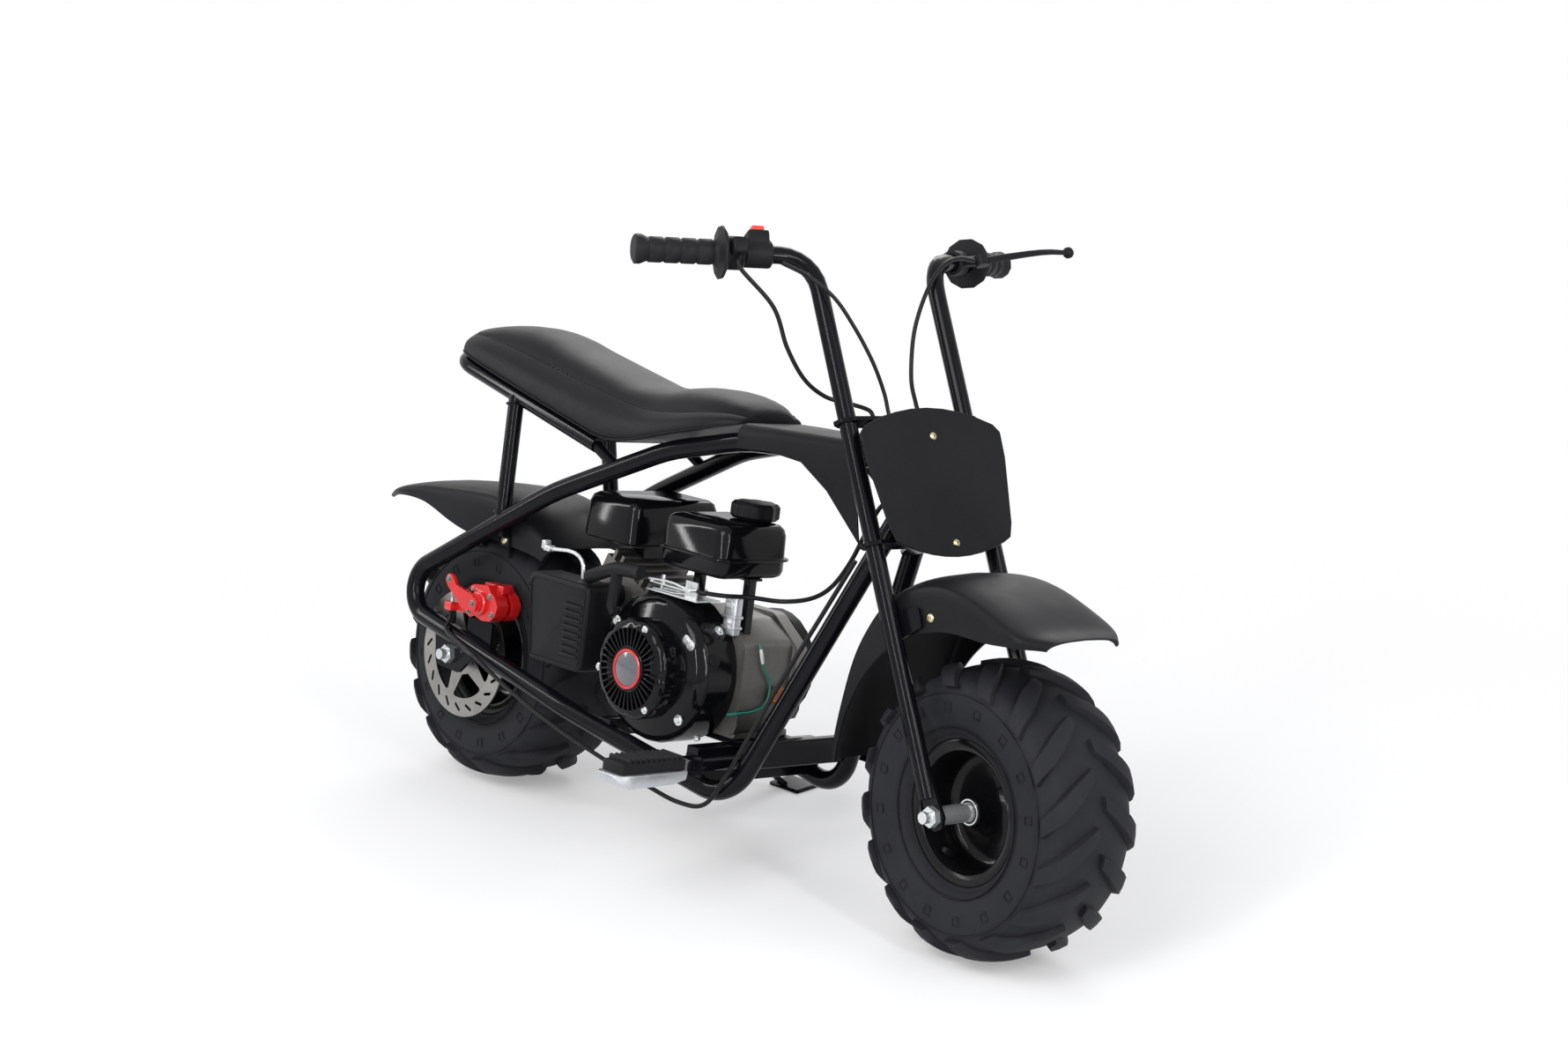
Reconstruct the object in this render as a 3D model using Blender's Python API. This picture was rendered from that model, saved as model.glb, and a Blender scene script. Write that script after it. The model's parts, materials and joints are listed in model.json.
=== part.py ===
"""Small minibike with an open engine, parked on its side stand.

Bike frame: +X forward, +Y to the rider's left, +Z up, the ground under the rear axle at height 0,
all in metres. The fork is modelled in its own frame on the steering axis, turned as it is parked.
The last step leans the whole bike until both tyres and the stand's foot touch the ground.
"""

import math
from collections import namedtuple

import bmesh
import bpy
from mathutils import Matrix, Vector

# General fits
CLEARANCE = 0.0003
RUNNING_GAP = 0.003

# Facets round turned and swept shapes
DRUM_SIDES = 28
HUB_SIDES = 20
TUBE_SIDES = 12
BAR_SIDES = 10
PIN_SIDES = 8

# Wheels
WHEEL_RADIUS = 0.180
REAR_AXLE = Vector((0.0, 0.0, 0.180))
TYRE_COLUMNS = 48
COLUMNS_PER_LUG = 3
CHEVRON = math.radians(11.0)
RIM_BARREL_RADIUS = 0.0755
RIM_LIP_HEIGHT = 0.0123
RIM_HALF_WIDTH = 0.0564
RIM_SHEET = 0.003
HUB_RADIUS = 0.017
HUB_HALF_LENGTH = 0.045
AXLE_RADIUS = 0.0075
SPACER_RADIUS = 0.0115
NUT_RADIUS = 0.013
NUT_LENGTH = 0.009

# Brake disc and final drive
DISC_RADIUS = 0.090
DISC_THICKNESS = 0.003
DISC_OFFSET = 0.098
DISC_SPOKES = 5
CHAIN_PITCH = 0.0127
CHAIN_OFFSET = 0.090
CHAIN_HALF_WIDTH = 0.0065
CHAIN_HALF_HEIGHT = 0.0036
ROLLER_LENGTH = 0.0066
SPROCKET_TEETH = 36
CLUTCH_TEETH = 11
OPEN_LINKS = 4
SPROCKET_THICKNESS = 0.003

# Frame tubes
LOOP_RADIUS = 0.0127
STRUT_RADIUS = 0.011
DROPOUT_OFFSET = 0.120
DROPOUT_THICKNESS = 0.005

# Seat: its underside follows one straight line from the tail to the front of the pan
SEAT_LINE = 0.5746
SEAT_SLOPE = -0.233
SEAT_PAN_SHEET = 0.003

# Steering
RAKE = math.radians(26.3)
STEERING_BASE = (0.8893, 0.0, 0.1637)
PARKED_STEER = math.radians(-5.0)
FORK_RADIUS = 0.0111
FORK_HALF_SPACING = 0.098
FORK_AHEAD = 0.030
AXLE_AHEAD = 0.0367
CLAMP_THICKNESS = 0.005
LOWER_CLAMP = 0.334
UPPER_CLAMP = 0.489
HEAD_RADIUS = 0.020
STEM_RADIUS = 0.0125
STEM_GAP = 0.0006
BAR_RISE = 0.702
BAR_BEND = 0.050
BAR_CORNER = Vector((FORK_AHEAD, FORK_HALF_SPACING, BAR_RISE))
GRIP_END = BAR_CORNER + Vector((-0.0815, 0.2089, 0.0334))
GRIP_LENGTH = 0.113
BAR_REACH = (GRIP_END - BAR_CORNER).normalized()
GRIP_START = GRIP_END - BAR_REACH * GRIP_LENGTH
PLATE_AHEAD = 0.0655
PLATE_THICKNESS = 0.003
FENDER_HALF_WIDTH = 0.085
FENDER_SHEET = 0.003

# Engine
CRANK_X = 0.405
CRANK_Z = 0.246
MOUNT_TOP = 0.168
MOUNT_THICKNESS = 0.005
SHROUD_RADIUS = 0.098
SHROUD_FACE = 0.115
CASE_HALF_WIDTH = 0.050
RECOIL_RADIUS = 0.066
RECOIL_FACE = 0.150
RECOIL_SLOTS = 20
FIN_COUNT = 7
FIN_PITCH = 0.016
FIN_SHEET = 0.006
CYLINDER_TILT = math.radians(25.0)

# Stand, pegs and lean
LEAN = math.radians(9.5)
STAND_PIVOT = Vector((0.270, 0.137, 0.125))
STAND_FOOT = Vector((0.320, 0.250, 0.0440))
STAND_FOLD = Vector((-1.0, 0.10, 0.10))
STAND_STRIP = 0.006
PEG_BAR = (0.550, 0.1535)
PEG_BAR_RADIUS = 0.009
PEG_HINGE_OFFSET = 0.165

Corner = namedtuple("Corner", "x y z bend")
Station = namedtuple("Station", "x rise bottom_half crease crease_half crown")
Fender = namedtuple("Fender", "angle crown drop skirt half")
Saddle = namedtuple("Saddle", "top_x top_z low_x low_z")
Section = namedtuple("Section", "offset radius")
Layer = namedtuple("Layer", "height inset")


# Finishes

def make_finish(name, colour, roughness, metallic):
    """Return a Principled material for one kind of surface."""
    material = bpy.data.materials.new(name)
    material.use_nodes = True
    shader = material.node_tree.nodes["Principled BSDF"]
    shader.inputs["Base Color"].default_value = (*colour, 1.0)
    shader.inputs["Roughness"].default_value = roughness
    shader.inputs["Metallic"].default_value = metallic
    material.diffuse_color = (*colour, 1.0)
    return material


def make_finishes():
    """Return the materials by their plain names."""
    return {
        "frame_paint": make_finish("frame_paint", (0.010, 0.010, 0.013), 0.18, 0.0),
        "engine_paint": make_finish("engine_paint", (0.008, 0.008, 0.010), 0.12, 0.0),
        "rim_paint": make_finish("rim_paint", (0.012, 0.012, 0.013), 0.28, 0.0),
        "matte_plastic": make_finish("matte_plastic", (0.018, 0.018, 0.020), 0.55, 0.0),
        "fender_plastic": make_finish("fender_plastic", (0.022, 0.023, 0.026), 0.45, 0.0),
        "tyre_rubber": make_finish("tyre_rubber", (0.022, 0.022, 0.024), 0.75, 0.0),
        "grip_rubber": make_finish("grip_rubber", (0.020, 0.020, 0.021), 0.70, 0.0),
        "seat_vinyl": make_finish("seat_vinyl", (0.014, 0.014, 0.016), 0.42, 0.0),
        "brushed_steel": make_finish("brushed_steel", (0.55, 0.56, 0.57), 0.32, 1.0),
        "zinc_steel": make_finish("zinc_steel", (0.62, 0.64, 0.66), 0.30, 1.0),
        "chain_steel": make_finish("chain_steel", (0.30, 0.30, 0.31), 0.40, 1.0),
        "cast_aluminium": make_finish("cast_aluminium", (0.20, 0.20, 0.205), 0.42, 0.9),
        "peg_aluminium": make_finish("peg_aluminium", (0.70, 0.71, 0.73), 0.35, 1.0),
        "caliper_red": make_finish("caliper_red", (0.55, 0.012, 0.015), 0.30, 0.0),
        "switch_red": make_finish("switch_red", (0.70, 0.02, 0.02), 0.35, 0.0),
        "cable_sheath": make_finish("cable_sheath", (0.012, 0.012, 0.012), 0.40, 0.0),
    }


# Mesh builders

def cleaned(bm):
    """Weld doubled points and turn every face outward."""
    bmesh.ops.remove_doubles(bm, verts=bm.verts, dist=1e-6)
    bmesh.ops.dissolve_degenerate(bm, edges=bm.edges, dist=1e-7)
    bmesh.ops.recalc_face_normals(bm, faces=bm.faces)
    if bm.calc_volume(signed=True) < 0:
        bmesh.ops.reverse_faces(bm, faces=bm.faces)
    return bm


def around(radius, sides):
    """Return the radius of a many sided bore whose flats clear a round bar."""
    return (radius + CLEARANCE) / math.cos(math.pi / sides)


def circle(radius, sides, centre=(0.0, 0.0), start=0.0):
    """Return points round a circle."""
    turns = [start + 2 * math.pi * i / sides for i in range(sides)]
    return [(centre[0] + radius * math.cos(t), centre[1] + radius * math.sin(t)) for t in turns]


def rounded(points, radius, steps=2):
    """Return a flat outline with its corners rounded by arcs."""
    outline = []
    count = len(points)
    for i, point in enumerate(points):
        here = Vector(point)
        before = (Vector(points[i - 1]) - here).normalized()
        after = (Vector(points[(i + 1) % count]) - here).normalized()
        half = before.angle(after) / 2
        reach = radius / math.tan(half)
        centre = here + (before + after).normalized() * (radius / math.sin(half))
        first = here + before * reach - centre
        last = here + after * reach - centre
        sweep = first.angle_signed(last)
        for k in range(steps + 1):
            arm = first.copy()
            arm.rotate(Matrix.Rotation(-sweep * k / steps, 2))
            outline.append(tuple(centre + arm))
    return outline


def prism(outline, low, high, plane="xz", holes=()):
    """Return an outline with its holes, extruded from low to high across its plane."""
    bm = bmesh.new()
    order = {"xz": (0, 2, 1), "xy": (0, 1, 2), "yz": (1, 2, 0)}[plane]
    for loop in (outline, *holes):
        verts = []
        for point in loop:
            place = [0.0, 0.0, 0.0]
            place[order[0]] = point[0]
            place[order[1]] = point[1]
            place[order[2]] = low
            verts.append(bm.verts.new(place))
        for i, vert in enumerate(verts):
            bm.edges.new((verts[i - 1], vert))
    bmesh.ops.triangle_fill(bm, use_beauty=True, use_dissolve=False, edges=bm.edges)
    shift = [0.0, 0.0, 0.0]
    shift[order[2]] = high - low
    grown = bmesh.ops.extrude_face_region(bm, geom=bm.faces[:], use_keep_orig=True)
    moved = [item for item in grown["geom"] if isinstance(item, bmesh.types.BMVert)]
    bmesh.ops.translate(bm, verts=moved, vec=shift)
    return cleaned(bm)


def turned(profile, sides, axis="Y", wave=None):
    """Return a closed (axial, radius) profile turned about an axis through the origin.

    wave, where given, scales the radius at each angle, for scalloped rims.
    """
    bm = bmesh.new()
    rings = []
    for i in range(sides):
        angle = 2 * math.pi * i / sides
        scale = wave(angle) if wave else 1.0
        across = math.cos(angle) * scale
        up = math.sin(angle) * scale
        places = {
            "Y": [(r * across, a, r * up) for a, r in profile],
            "Z": [(r * across, r * up, a) for a, r in profile],
            "X": [(a, r * across, r * up) for a, r in profile],
        }[axis]
        rings.append([bm.verts.new(place) for place in places])
    count = len(profile)
    for i in range(sides):
        here = rings[i]
        after = rings[(i + 1) % sides]
        for k in range(count):
            last = (k + 1) % count
            if max(profile[k][1], profile[last][1]) > 1e-7:
                bm.faces.new((here[k], here[last], after[last], after[k]))
    return cleaned(bm)


def loft(rings):
    """Return a closed body through rings of equal point count."""
    bm = bmesh.new()
    grid = [[bm.verts.new(point) for point in ring] for ring in rings]
    count = len(rings[0])
    for here, after in zip(grid, grid[1:]):
        for k in range(count):
            last = (k + 1) % count
            bm.faces.new((here[k], here[last], after[last], after[k]))
    bm.faces.new(grid[0][::-1])
    bm.faces.new(grid[-1])
    return cleaned(bm)


def block(low, high, bevel=0.0, segments=2):
    """Return a box between two corners, with its edges rounded."""
    bm = bmesh.new()
    size = Vector(high) - Vector(low)
    middle = (Vector(high) + Vector(low)) / 2
    bmesh.ops.create_cube(bm, size=1.0, matrix=Matrix.Translation(middle) @ Matrix.Diagonal((*size, 1)))
    if bevel:
        bmesh.ops.bevel(bm, geom=bm.edges[:], offset=bevel, segments=segments, profile=0.5, affect="EDGES")
    return cleaned(bm)


def rod(start, end, radius, sides=12):
    """Return a straight round bar between two points."""
    return sweep([Vector(start), Vector(end)], radius, sides)


def sweep(path, radius, sides):
    """Return a round bar along a path, its ring carried from point to point without twist."""
    path = [Vector(point) for point in path]
    tangents = []
    for i in range(len(path)):
        before = path[max(i - 1, 0)]
        after = path[min(i + 1, len(path) - 1)]
        tangents.append((after - before).normalized())
    side = tangents[0].orthogonal().normalized()
    rings = []
    for point, tangent in zip(path, tangents):
        side = (side - tangent * side.dot(tangent)).normalized()
        other = tangent.cross(side)
        size = radius(point) if callable(radius) else radius
        ring = []
        for k in range(sides):
            turn = 2 * math.pi * k / sides
            ring.append(point + (side * math.cos(turn) + other * math.sin(turn)) * size)
        rings.append(ring)
    return loft(rings)


def bent_path(corners, step=math.radians(15.0)):
    """Return points along straight runs joined by arcs at the corners."""
    path = [Vector(corners[0][:3])]
    for before, corner, after in zip(corners, corners[1:], corners[2:]):
        here = Vector(corner[:3])
        back = (Vector(before[:3]) - here).normalized()
        ahead = (Vector(after[:3]) - here).normalized()
        half = back.angle(ahead) / 2
        reach = corner.bend / math.tan(half)
        centre = here + (back + ahead).normalized() * (corner.bend / math.sin(half))
        first = here + back * reach - centre
        last = here + ahead * reach - centre
        sweep_angle = first.angle(last)
        count = max(2, math.ceil(sweep_angle / step))
        axis = first.cross(last).normalized()
        for k in range(count + 1):
            path.append(centre + Matrix.Rotation(sweep_angle * k / count, 3, axis) @ first)
    path.append(Vector(corners[-1][:3]))
    return path


def smooth_path(points, count):
    """Return points along a smooth curve through the chosen ones."""
    points = [Vector(point) for point in points]
    ends = [points[0] * 2 - points[1], *points, points[-1] * 2 - points[-2]]
    path = []
    spans = len(points) - 1
    for i in range(count):
        place = spans * i / (count - 1)
        k = min(int(place), spans - 1)
        t = place - k
        a, b, c, d = ends[k:k + 4]
        path.append(0.5 * (2 * b + (c - a) * t + (2 * a - 5 * b + 4 * c - d) * t ** 2
                           + (3 * b - a - 3 * c + d) * t ** 3))
    return path


def mirrored(bm):
    """Return a copy of a body on the other side of the bike."""
    other = bm.copy()
    bmesh.ops.transform(other, matrix=Matrix.Diagonal((1, -1, 1, 1)), verts=other.verts)
    bmesh.ops.reverse_faces(other, faces=other.faces)
    return other


def moved(bm, matrix):
    """Place a body by a matrix."""
    bmesh.ops.transform(bm, matrix=matrix, verts=bm.verts)
    return bm


def shifted(bm, x, y, z):
    """Place a body by an offset."""
    return moved(bm, Matrix.Translation((x, y, z)))


def combined(base, tools, operation="UNION"):
    """Return the base united with each tool, or with each tool cut from it."""
    scene = bpy.context.scene.collection
    objects = []
    for bm in (base, *tools):
        mesh = bpy.data.meshes.new("work")
        bm.to_mesh(mesh)
        bm.free()
        work = bpy.data.objects.new("work", mesh)
        scene.objects.link(work)
        objects.append(work)
    for tool in objects[1:]:
        modifier = objects[0].modifiers.new("join", "BOOLEAN")
        modifier.operation = operation
        modifier.object = tool
    graph = bpy.context.evaluated_depsgraph_get()
    result = bmesh.new()
    result.from_object(objects[0], graph)
    for work in objects:
        mesh = work.data
        bpy.data.objects.remove(work)
        bpy.data.meshes.remove(mesh)
    return cleaned(result)


def cut(base, *tools):
    """Return the base with each tool cut from it."""
    return combined(base, tools, "DIFFERENCE")


def united(base, *tools):
    """Return one body of several that overlap."""
    return combined(base, tools)


class Bike:
    """The bike's pieces, its finishes and the empties that carry them."""

    def __init__(self):
        self.finishes = make_finishes()
        self.root = self.carrier("bike", None)
        self.head = self.carrier("head", self.root, Matrix.Translation(STEERING_BASE)
                                 @ Matrix.Rotation(-RAKE, 4, "Y"))
        self.fork = self.carrier("steering", self.head, Matrix.Rotation(PARKED_STEER, 4, "Z"))
        self.level = self.carrier("fork_level", self.fork, Matrix.Translation((AXLE_AHEAD, 0, 0))
                                  @ Matrix.Rotation(RAKE, 4, "Y"))
        self.rear_hub = self.carrier("rear_wheel", self.root, Matrix.Translation(REAR_AXLE))

    def carrier(self, name, parent, matrix=Matrix.Identity(4)):
        """Add an empty that carries pieces or stands on a joint's axis."""
        empty = bpy.data.objects.new(name, None)
        bpy.context.scene.collection.objects.link(empty)
        empty.parent = parent
        empty.matrix_local = matrix
        return empty

    def piece(self, name, bm, finish, parent=None, smooth_angle=34.0):
        """Add one named body with its material under a carrier."""
        mesh = bpy.data.meshes.new(name)
        bm.to_mesh(mesh)
        bm.free()
        mesh.materials.append(self.finishes[finish])
        mesh.shade_smooth()
        mesh.set_sharp_from_angle(angle=math.radians(smooth_angle))
        return self.place(name, mesh, parent)

    def place(self, name, data, parent=None):
        """Add an object for a mesh or a curve under a carrier."""
        item = bpy.data.objects.new(name, data)
        bpy.context.scene.collection.objects.link(item)
        item.parent = parent or self.root
        return item

    def cable(self, name, points, diameter, parent=None):
        """Add a cable as a smooth curve with a round bevel and filled ends."""
        route = [Vector(point) for point in points]
        length = sum((b - a).length for a, b in zip(route, route[1:]))
        path = smooth_path(route, min(24, max(6, round(length / (3.0 * diameter)))))
        curve = bpy.data.curves.new(name, "CURVE")
        curve.dimensions = "3D"
        curve.bevel_depth = diameter / 2
        curve.bevel_resolution = 2
        curve.use_fill_caps = True
        spline = curve.splines.new("POLY")
        spline.points.add(len(path) - 1)
        for knot, point in zip(spline.points, path):
            knot.co = (*point, 1.0)
        curve.materials.append(self.finishes["cable_sheath"])
        return self.place(name, curve, parent)


# Wheels

def tyre_sections():
    """Return the tyre's half section from the bead to the crown, and its lugs' raised rows.

    Each radius is a share of the way from the rim's seat to the wheel's radius.
    """
    seat = RIM_BARREL_RADIUS + CLEARANCE * 2

    def section(offset, share):
        return Section(offset, seat + share * (WHEEL_RADIUS - seat))

    low = [
        section(0.0525, 0.000),
        Section(0.0525, RIM_BARREL_RADIUS + RIM_LIP_HEIGHT + CLEARANCE * 4),
        section(0.0640, 0.192),
        section(0.0725, 0.423),
        section(0.0718, 0.635),
        section(0.0645, 0.788),
        section(0.0450, 0.868),
        section(0.0190, 0.918),
    ]
    high = {
        4: section(0.0738, 0.640),
        5: section(0.0700, 0.832),
        6: section(0.0475, 0.937),
        7: section(0.0190, 0.997),
    }
    return low, high


def tyre():
    """Return a knobbly balloon tyre: a turned carcass with chevron lugs grown from its faces."""
    low, high = tyre_sections()
    half = len(low)
    rows = [(row, 1) for row in range(half)] + [(row, -1) for row in reversed(range(half))]
    step = 2 * math.pi / TYRE_COLUMNS

    def shear(row, side):
        shift = CHEVRON * low[row].offset / low[3].offset
        return shift if side > 0 else shift + 1.5 * step

    def place(section, side, angle):
        return (section.radius * math.cos(angle), side * section.offset, section.radius * math.sin(angle))

    bm = bmesh.new()
    grid = []
    for column in range(TYRE_COLUMNS):
        ring = [bm.verts.new(place(low[row], side, column * step + shear(row, side))) for row, side in rows]
        grid.append(ring)
    faces = {}
    for column in range(TYRE_COLUMNS):
        here = grid[column]
        after = grid[(column + 1) % TYRE_COLUMNS]
        for k in range(len(rows)):
            last = (k + 1) % len(rows)
            faces[column, k] = bm.faces.new((here[k], here[last], after[last], after[k]))
    bmesh.ops.recalc_face_normals(bm, faces=bm.faces)
    first_row = min(high)
    for side, strips in ((1, range(first_row, half - 1)), (-1, range(half, 2 * half - 1 - first_row))):
        for start in range(0, TYRE_COLUMNS, COLUMNS_PER_LUG):
            patch = [faces[start + c, k] for k in strips for c in range(COLUMNS_PER_LUG - 1)]
            grown = bmesh.ops.extrude_face_region(bm, geom=patch)
            for vert in (item for item in grown["geom"] if isinstance(item, bmesh.types.BMVert)):
                radius = math.hypot(vert.co.x, vert.co.z)
                row = min(high, key=lambda r: abs(low[r].radius - radius))
                angle = math.atan2(vert.co.z, vert.co.x)
                vert.co = place(high[row], side, angle)
            bmesh.ops.delete(bm, geom=[face for face in patch if face.is_valid], context="FACES")
    return cleaned(bm)


def rim():
    """Return a deep dished steel rim with its hub, turned from one closed section."""
    inside = RIM_BARREL_RADIUS - RIM_SHEET
    lip = RIM_BARREL_RADIUS + RIM_LIP_HEIGHT
    bead = RIM_HALF_WIDTH - RIM_SHEET
    web = RIM_SHEET / 2
    bore = AXLE_RADIUS + 0.001
    right = [
        (HUB_HALF_LENGTH, bore),
        (HUB_HALF_LENGTH, HUB_RADIUS),
        (web + 0.010, HUB_RADIUS + 0.006),
        (web, HUB_RADIUS + 0.020),
        (web, inside),
        (RIM_HALF_WIDTH, inside),
        (RIM_HALF_WIDTH, lip),
        (bead, lip),
        (bead, RIM_BARREL_RADIUS),
    ]
    left = [(-axial, radius) for axial, radius in reversed(right)]
    return turned(right + left, DRUM_SIDES - 4)


def sprocket_outline(teeth, phase):
    """Return the outline of a chain wheel, with a tooth centred between rollers."""
    pitch_radius = CHAIN_PITCH / (2 * math.sin(math.pi / teeth))
    root = pitch_radius - CHAIN_HALF_HEIGHT - 0.0008
    tip = pitch_radius + CHAIN_HALF_HEIGHT
    outline = []
    for tooth in range(teeth):
        middle = phase + 2 * math.pi * tooth / teeth
        for radius, half in ((root, 0.0019), (tip, 0.0), (root, -0.0019)):
            angle = middle - half / pitch_radius
            outline.append((radius * math.cos(angle), radius * math.sin(angle)))
    return outline


def drive_geometry():
    """Return the chain's two wheels and the angles where it leaves them."""
    rear = REAR_AXLE.xz
    front = Vector((CRANK_X, CRANK_Z))
    rear_radius = CHAIN_PITCH / (2 * math.sin(math.pi / SPROCKET_TEETH))
    front_radius = CHAIN_PITCH / (2 * math.sin(math.pi / CLUTCH_TEETH))
    span = front - rear
    heading = math.atan2(span.y, span.x)
    lean = math.acos((rear_radius - front_radius) / span.length)
    return rear, front, rear_radius, front_radius, heading, lean


def chain_stations():
    """Return (point, outward direction, is closed up to the next) round the chain's whole loop."""
    rear, front, rear_radius, front_radius, heading, lean = drive_geometry()
    wraps = []
    for centre, radius, teeth, middle, half in (
            (rear, rear_radius, SPROCKET_TEETH, heading + math.pi, math.pi - lean),
            (front, front_radius, CLUTCH_TEETH, heading, lean)):
        pitch = 2 * math.pi / teeth
        rollers = 2 * math.floor(half / pitch) + 1
        angles = [middle + (k - rollers // 2) * pitch for k in range(rollers)]
        wraps.append([(centre + Vector((math.cos(a), math.sin(a))) * radius,
                       Vector((math.cos(a), math.sin(a)))) for a in angles])
    stations = []
    for wrap, other in (wraps, wraps[::-1]):
        lead_in = (wrap[0][0] - other[-1][0]).normalized()
        lead_out = (other[0][0] - wrap[-1][0]).normalized()
        before = [(wrap[0][0] - lead_in * CHAIN_PITCH * k, Vector((lead_in.y, -lead_in.x)))
                  for k in range(OPEN_LINKS, 0, -1)]
        after = [(wrap[-1][0] + lead_out * CHAIN_PITCH * k, Vector((lead_out.y, -lead_out.x)))
                 for k in range(1, OPEN_LINKS + 1)]
        rollers = [*before, *wrap, *after]
        for k, (point, out) in enumerate(rollers):
            along = Vector((-out.y, out.x)) * ROLLER_LENGTH / 2
            stations.append((point - along, out, True))
            stations.append((point + along, out, k == len(rollers) - 1))
    return stations


def chain():
    """Return the roller chain: links open round the wheels' teeth, closed along the straight runs."""
    stations = chain_stations()
    bm = bmesh.new()
    across = (-CHAIN_HALF_WIDTH, -CHAIN_HALF_WIDTH / 2 + 0.0004, CHAIN_HALF_WIDTH / 2 - 0.0004,
              CHAIN_HALF_WIDTH)
    rings = []
    for point, out, _ in stations:
        ring = []
        for height in (-CHAIN_HALF_HEIGHT, CHAIN_HALF_HEIGHT):
            place = point + out * height
            ring.append([bm.verts.new((place.x, CHAIN_OFFSET + side, place.y)) for side in across])
        rings.append(ring)
    count = len(stations)
    for k in range(count):
        here = rings[k]
        after = rings[(k + 1) % count]
        if stations[k][2]:
            for level in (0, 1):
                bm.faces.new(here[level] + after[level][::-1])
            for edge in (0, 3):
                bm.faces.new((here[0][edge], here[1][edge], after[1][edge], after[0][edge]))
        else:
            for first, last in ((0, 1), (2, 3)):
                for level in (0, 1):
                    bm.faces.new((here[level][first], here[level][last], after[level][last],
                                  after[level][first]))
                for edge in (first, last):
                    bm.faces.new((here[0][edge], here[1][edge], after[1][edge], after[0][edge]))
            for ring in (here, after):
                bm.faces.new((ring[0][1], ring[0][2], ring[1][2], ring[1][1]))
    return cleaned(bm)


def disc_windows(inner, outer, count, web):
    """Return rounded windows between the spokes of a disc."""
    windows = []
    for k in range(count):
        middle = 2 * math.pi * (k + 0.5) / count
        span = math.pi / count
        corners = []
        for radius, sign in ((outer, -1), (outer, 0), (outer, 1), (inner, 1), (inner, -1)):
            half = (span - web / radius) * sign
            corners.append((radius * math.cos(middle + half), radius * math.sin(middle + half)))
        windows.append(rounded(corners, 0.004, 1))
    return windows


def build_wheels(bike):
    """Add both wheels, the rear one with its brake disc and sprocket."""
    tyre_mesh = tyre()
    rim_mesh = rim()
    for name, parent in (("front", bike.level), ("rear", bike.rear_hub)):
        bike.piece(name + "_tyre", tyre_mesh.copy(), "tyre_rubber", parent, 40.0)
        bike.piece(name + "_rim", rim_mesh.copy(), "rim_paint", parent)
    tyre_mesh.free()
    rim_mesh.free()
    bore = AXLE_RADIUS + 0.001
    carrier_radius = 0.024
    inner_end = HUB_HALF_LENGTH + CLEARANCE
    disc_low = -DISC_OFFSET - DISC_THICKNESS / 2
    disc = prism(circle(DISC_RADIUS, DRUM_SIDES), disc_low, disc_low + DISC_THICKNESS, "xz",
                 [circle(bore, TUBE_SIDES), *disc_windows(0.033, 0.062, DISC_SPOKES, 0.006)])
    hub = turned([(-inner_end, bore), (-inner_end, HUB_RADIUS), (disc_low + 0.001, carrier_radius),
                  (disc_low + 0.001, bore)], TUBE_SIDES)
    bike.piece("brake_disc", united(disc, hub), "brushed_steel", bike.rear_hub)
    heading = drive_geometry()[4]
    phase = heading + math.pi + math.pi / SPROCKET_TEETH
    low = CHAIN_OFFSET - SPROCKET_THICKNESS / 2
    wheel = prism(sprocket_outline(SPROCKET_TEETH, phase), low, low + SPROCKET_THICKNESS, "xz",
                  [circle(bore, TUBE_SIDES), *disc_windows(0.034, 0.060, DISC_SPOKES, 0.008)])
    hub = turned([(inner_end, bore), (inner_end, HUB_RADIUS), (low + 0.001, carrier_radius),
                  (low + 0.001, bore)], TUBE_SIDES)
    bike.piece("rear_sprocket", united(wheel, hub), "chain_steel", bike.rear_hub)
    bike.piece("drive_chain", chain(), "chain_steel", None, 30.0)


# Frame

def loop_corners():
    """Return one side's frame loop: down tube, lower rail, rear bend, upper rail to the head."""
    return [
        Corner(0.7205, 0.0250, 0.4917, 0.0),
        Corner(0.5660, 0.1000, 0.1070, 0.060),
        Corner(0.2520, DROPOUT_OFFSET, 0.1590, 0.300),
        Corner(-0.1700, DROPOUT_OFFSET, 0.2400, 0.040),
        Corner(0.1500, 0.0940, 0.4345, 0.500),
        Corner(0.3450, 0.0670, 0.5235, 0.300),
        Corner(0.4700, 0.0490, 0.5550, 0.300),
        Corner(0.6830, 0.0260, 0.5660, 0.0),
    ]


def loop_paths():
    """Return the upper rail's and the lower tube's centre lines, split in front of the rear bend."""
    corners = loop_corners()
    path = bent_path(corners)
    here = Vector(corners[3][:3])
    split = next(i for i, point in enumerate(path) if (point - here).length < corners[3].bend * 3)
    ahead = (Vector(corners[2][:3]) - here).normalized()
    join = path[split] + ahead * LOOP_RADIUS
    lower = path[:split] + [join + ahead * CLEARANCE / 2]
    upper = [join - ahead * CLEARANCE / 2] + path[split:]
    return upper, lower


def on_path(path, x):
    """Return the point of a path that lies at a given distance along the bike."""
    for before, after in zip(path, path[1:]):
        if before.x <= x <= after.x:
            return before.lerp(after, (x - before.x) / (after.x - before.x))
    return path[-1]


def axis_cutter(radius):
    """Return a bar on the steering axis, in the bike's frame."""
    base = Vector(STEERING_BASE)
    along = Vector((-math.sin(RAKE), 0, math.cos(RAKE)))
    return rod(base + along * 0.25, base + along * 0.60, radius, HUB_SIDES)


def dropout():
    """Return the plate that holds the rear axle below the left lower tube."""
    low = DROPOUT_OFFSET - DROPOUT_THICKNESS / 2
    outline = rounded([(-0.040, 0.216), (-0.030, 0.160), (0.022, 0.157), (0.062, 0.196)], 0.008, 3)
    return prism(outline, low, low + DROPOUT_THICKNESS, "xz",
                 [circle(around(AXLE_RADIUS, TUBE_SIDES), TUBE_SIDES, REAR_AXLE.xz)])


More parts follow.
